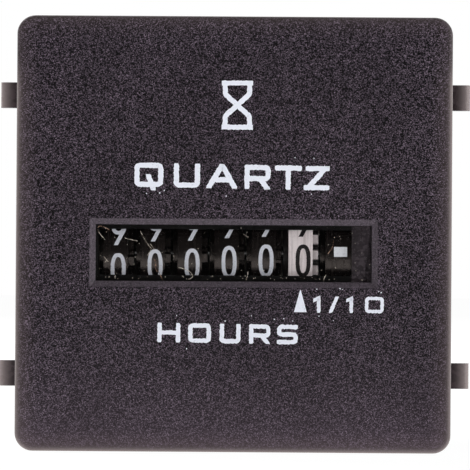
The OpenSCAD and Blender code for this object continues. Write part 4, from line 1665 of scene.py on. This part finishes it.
@dataclass(frozen=True)
class Softbox:
    """A soft lamp.

    Attributes:
        name: Its name.
        at: Its place in metres.
        size: Its width and height in metres.
        power: Its power in watts.
        colour: Its colour.
        mirrored: Whether gloss shows it.
    """

    name: str
    at: Triple
    size: Span
    power: float
    colour: Colour = (1.0, 1.0, 1.0)
    mirrored: bool = True

    def build(self) -> None:
        """Hang the lamp and turn it to the object."""
        lamp = bpy.data.lights.new(self.name, "AREA")
        lamp.shape = "RECTANGLE"
        lamp.size, lamp.size_y = self.size
        lamp.energy = self.power
        lamp.color = self.colour
        made = bpy.data.objects.new(self.name, lamp)
        made.visible_glossy = self.mirrored
        made.location = self.at
        made.rotation_euler = (-Vector(self.at)).to_track_quat("-Z", "Y").to_euler()
        bpy.context.scene.collection.objects.link(made)


@dataclass
class Studio:
    """Pale floor, white surroundings, soft lamps and the camera.

    Attributes:
        floor_half: Half of the floor's width in metres.
        ambient: How brightly the surroundings light the object.
        front_gloss: How brightly gloss shows what is in front of the object.
        floor_bounce: How brightly the floor lights the object.
        floor_white: How white the floor is to the camera.
        floor_lit: How much lamplight the floor throws back on the object.
        floor_shade: How much lamplight it shows to the camera, which draws the shadow.
        paper_front: Distance in metres in front of the object at which gloss shows the floor dim.
        paper_fade: Share of that distance over which it turns dim.
        behind: How far the way to the back is blurred, in the surroundings that gloss shows.
        softboxes: The lamps.
        eye: Place of the camera.
        image_w: Width of the picture at the bezel's face.
        sensor: Width of the camera's sensor.
        roll: How far the camera is rolled, in degrees.
        shift: How far the picture is shifted, in its widths.
    """

    floor_half: float = 3.0
    ambient: float = 0.1
    front_gloss: float = 0.06
    floor_bounce: float = 0.6
    floor_white: float = 0.965
    floor_lit: float = 0.8
    floor_shade: float = 0.15
    paper_front: float = 0.11
    paper_fade: float = 0.3
    behind: float = 0.3
    softboxes: tuple[Softbox, ...] = (
        Softbox("side_softbox", (0.55, -0.30, 0.05), (0.6, 0.6), 2.6),
        Softbox("front_softbox", (-0.05, -0.70, 0.03), (0.6, 0.1), 1.5, (1.0, 0.97, 0.98), False),
        Softbox("rear_softbox", (-0.45, 0.65, 0.55), (0.7, 0.7), 9.0),
    )
    eye: Triple = (3.2, -426.0, -4.5)
    image_w: float = 51.70
    sensor: float = 36.0
    roll: float = 0.4
    shift: Span = (0.0027, -0.0018)

    def build(self) -> None:
        """Set up everything round the object."""
        bpy.context.scene.view_settings.view_transform = "Standard"
        self.floor()
        self.world()
        for softbox in self.softboxes:
            softbox.build()
        self.camera()

    def rays(self, shading: Shading) -> tuple[Signal, Signal, Signal]:
        """Whether a ray comes from the camera, off gloss or through a clear piece, each as 0 or 1."""
        kinds = ("Camera", "Glossy", "Transmission")
        return tuple(shading.node("LightPath", output=f"Is {kind} Ray") for kind in kinds)

    def floor(self) -> None:
        """Lay the floor under the object, white to the camera apart from the shadow on it."""
        work = bmesh.new()
        bmesh.ops.create_grid(work, x_segments=1, y_segments=1, size=self.floor_half)
        made = finished("floor", work)
        made.location.z = CAD_BOX[0].z
        shading = Shading(bpy.data.materials.new("floor_paper"))
        seen, gloss, through = self.rays(shading)
        direct = shading.between(seen + gloss + through, 0.0, 1.0)
        ahead = shading.axes(shading.node("TexCoord", output="Object"))[1]
        start, end = (-self.paper_front * (1 + side * self.paper_fade) for side in (1, -1))
        dim = gloss * (1.0 - shading.between(ahead, start, end))
        white = shading.blend(dim, grey(self.floor_white), grey(self.front_gloss))
        shading.paint(
            Base_Color=shading.blend(direct, grey(self.floor_lit), grey(self.floor_shade)),
            Emission_Color=shading.blend(direct, grey(self.floor_bounce), white),
            Emission_Strength=1.0,
            Roughness=1.0,
            Specular_IOR_Level=0.0,
        )
        made.data.materials.append(shading.owner)

    def world(self) -> None:
        """Surround the object with white that lights it only softly."""
        shading = Shading(bpy.data.worlds.new("studio"), "Background")
        seen, gloss, through = self.rays(shading)
        way = shading.axes(shading.node("TexCoord", output="Generated"))[1]
        behind = shading.between(way, -self.behind, self.behind)
        mirrored = shading.blend(behind, grey(self.front_gloss), grey(1.0))
        lit = shading.blend(gloss, grey(self.ambient), mirrored)
        direct = shading.between(seen + through, 0.0, 1.0)
        shading.paint(Color=shading.blend(direct, lit, grey(1.0)))
        bpy.context.scene.world = shading.owner

    def camera(self) -> None:
        """Stand the camera where the front is seen a little from the right and below."""
        lens = bpy.data.cameras.new("camera")
        made = bpy.data.objects.new("camera", lens)
        bpy.context.scene.collection.objects.link(made)
        eye = Vector(self.eye) * MM
        span = Vector((0.0, CAD_BOX[0].y, 0.0)) - eye
        lens.sensor_width = self.sensor
        lens.lens = self.sensor * span.length / (self.image_w * MM)
        lens.shift_x, lens.shift_y = self.shift
        lens.clip_start = 0.01
        aim = span.to_track_quat("-Z", "Y").to_matrix().to_4x4()
        made.matrix_world = Matrix.Translation(eye) @ aim @ Matrix.Rotation(math.radians(self.roll), 4, "Z")
        bpy.context.scene.camera = made


def grey(level: float) -> Colour:
    """A neutral colour."""
    return (level, level, level)


DRUM_ROLLS: dict[Drum, float] = {
    Drum.TEN_THOUSANDS: 15.7,
    Drum.THOUSANDS: 12.1,
    Drum.HUNDREDS: 11.2,
    Drum.TENS: 8.7,
    Drum.UNITS: 7.2,
    Drum.TENTHS: 7.0,
}


def main() -> None:
    """Build the studio, dress the solids and add what they carry."""
    logging.basicConfig(level=logging.INFO, format="%(name)s: %(message)s")
    Studio().build()
    Solids(frame["record"]).build()
    pieces = FacePrint().build()
    pale, dark = DRUM_INK.make("drum_ink"), DARK_INK.make("tenths_ink")
    for drum, roll in DRUM_ROLLS.items():
        if drum is Drum.TENTHS:
            pieces.append(NumberDrum(drum, roll, pen=0.45).build(dark))
        else:
            pieces.append(NumberDrum(drum, roll).build(pale))
    pieces.append(RunIndicator().build())
    pieces += WindowLint(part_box("window_lens")[0].y / MM).build()
    pieces += PolarityMarks().build()
    for piece in pieces:
        LOG.info("piece %s has %d faces", piece.name, len(piece.data.polygons))


if __name__ == "__main__":
    main()
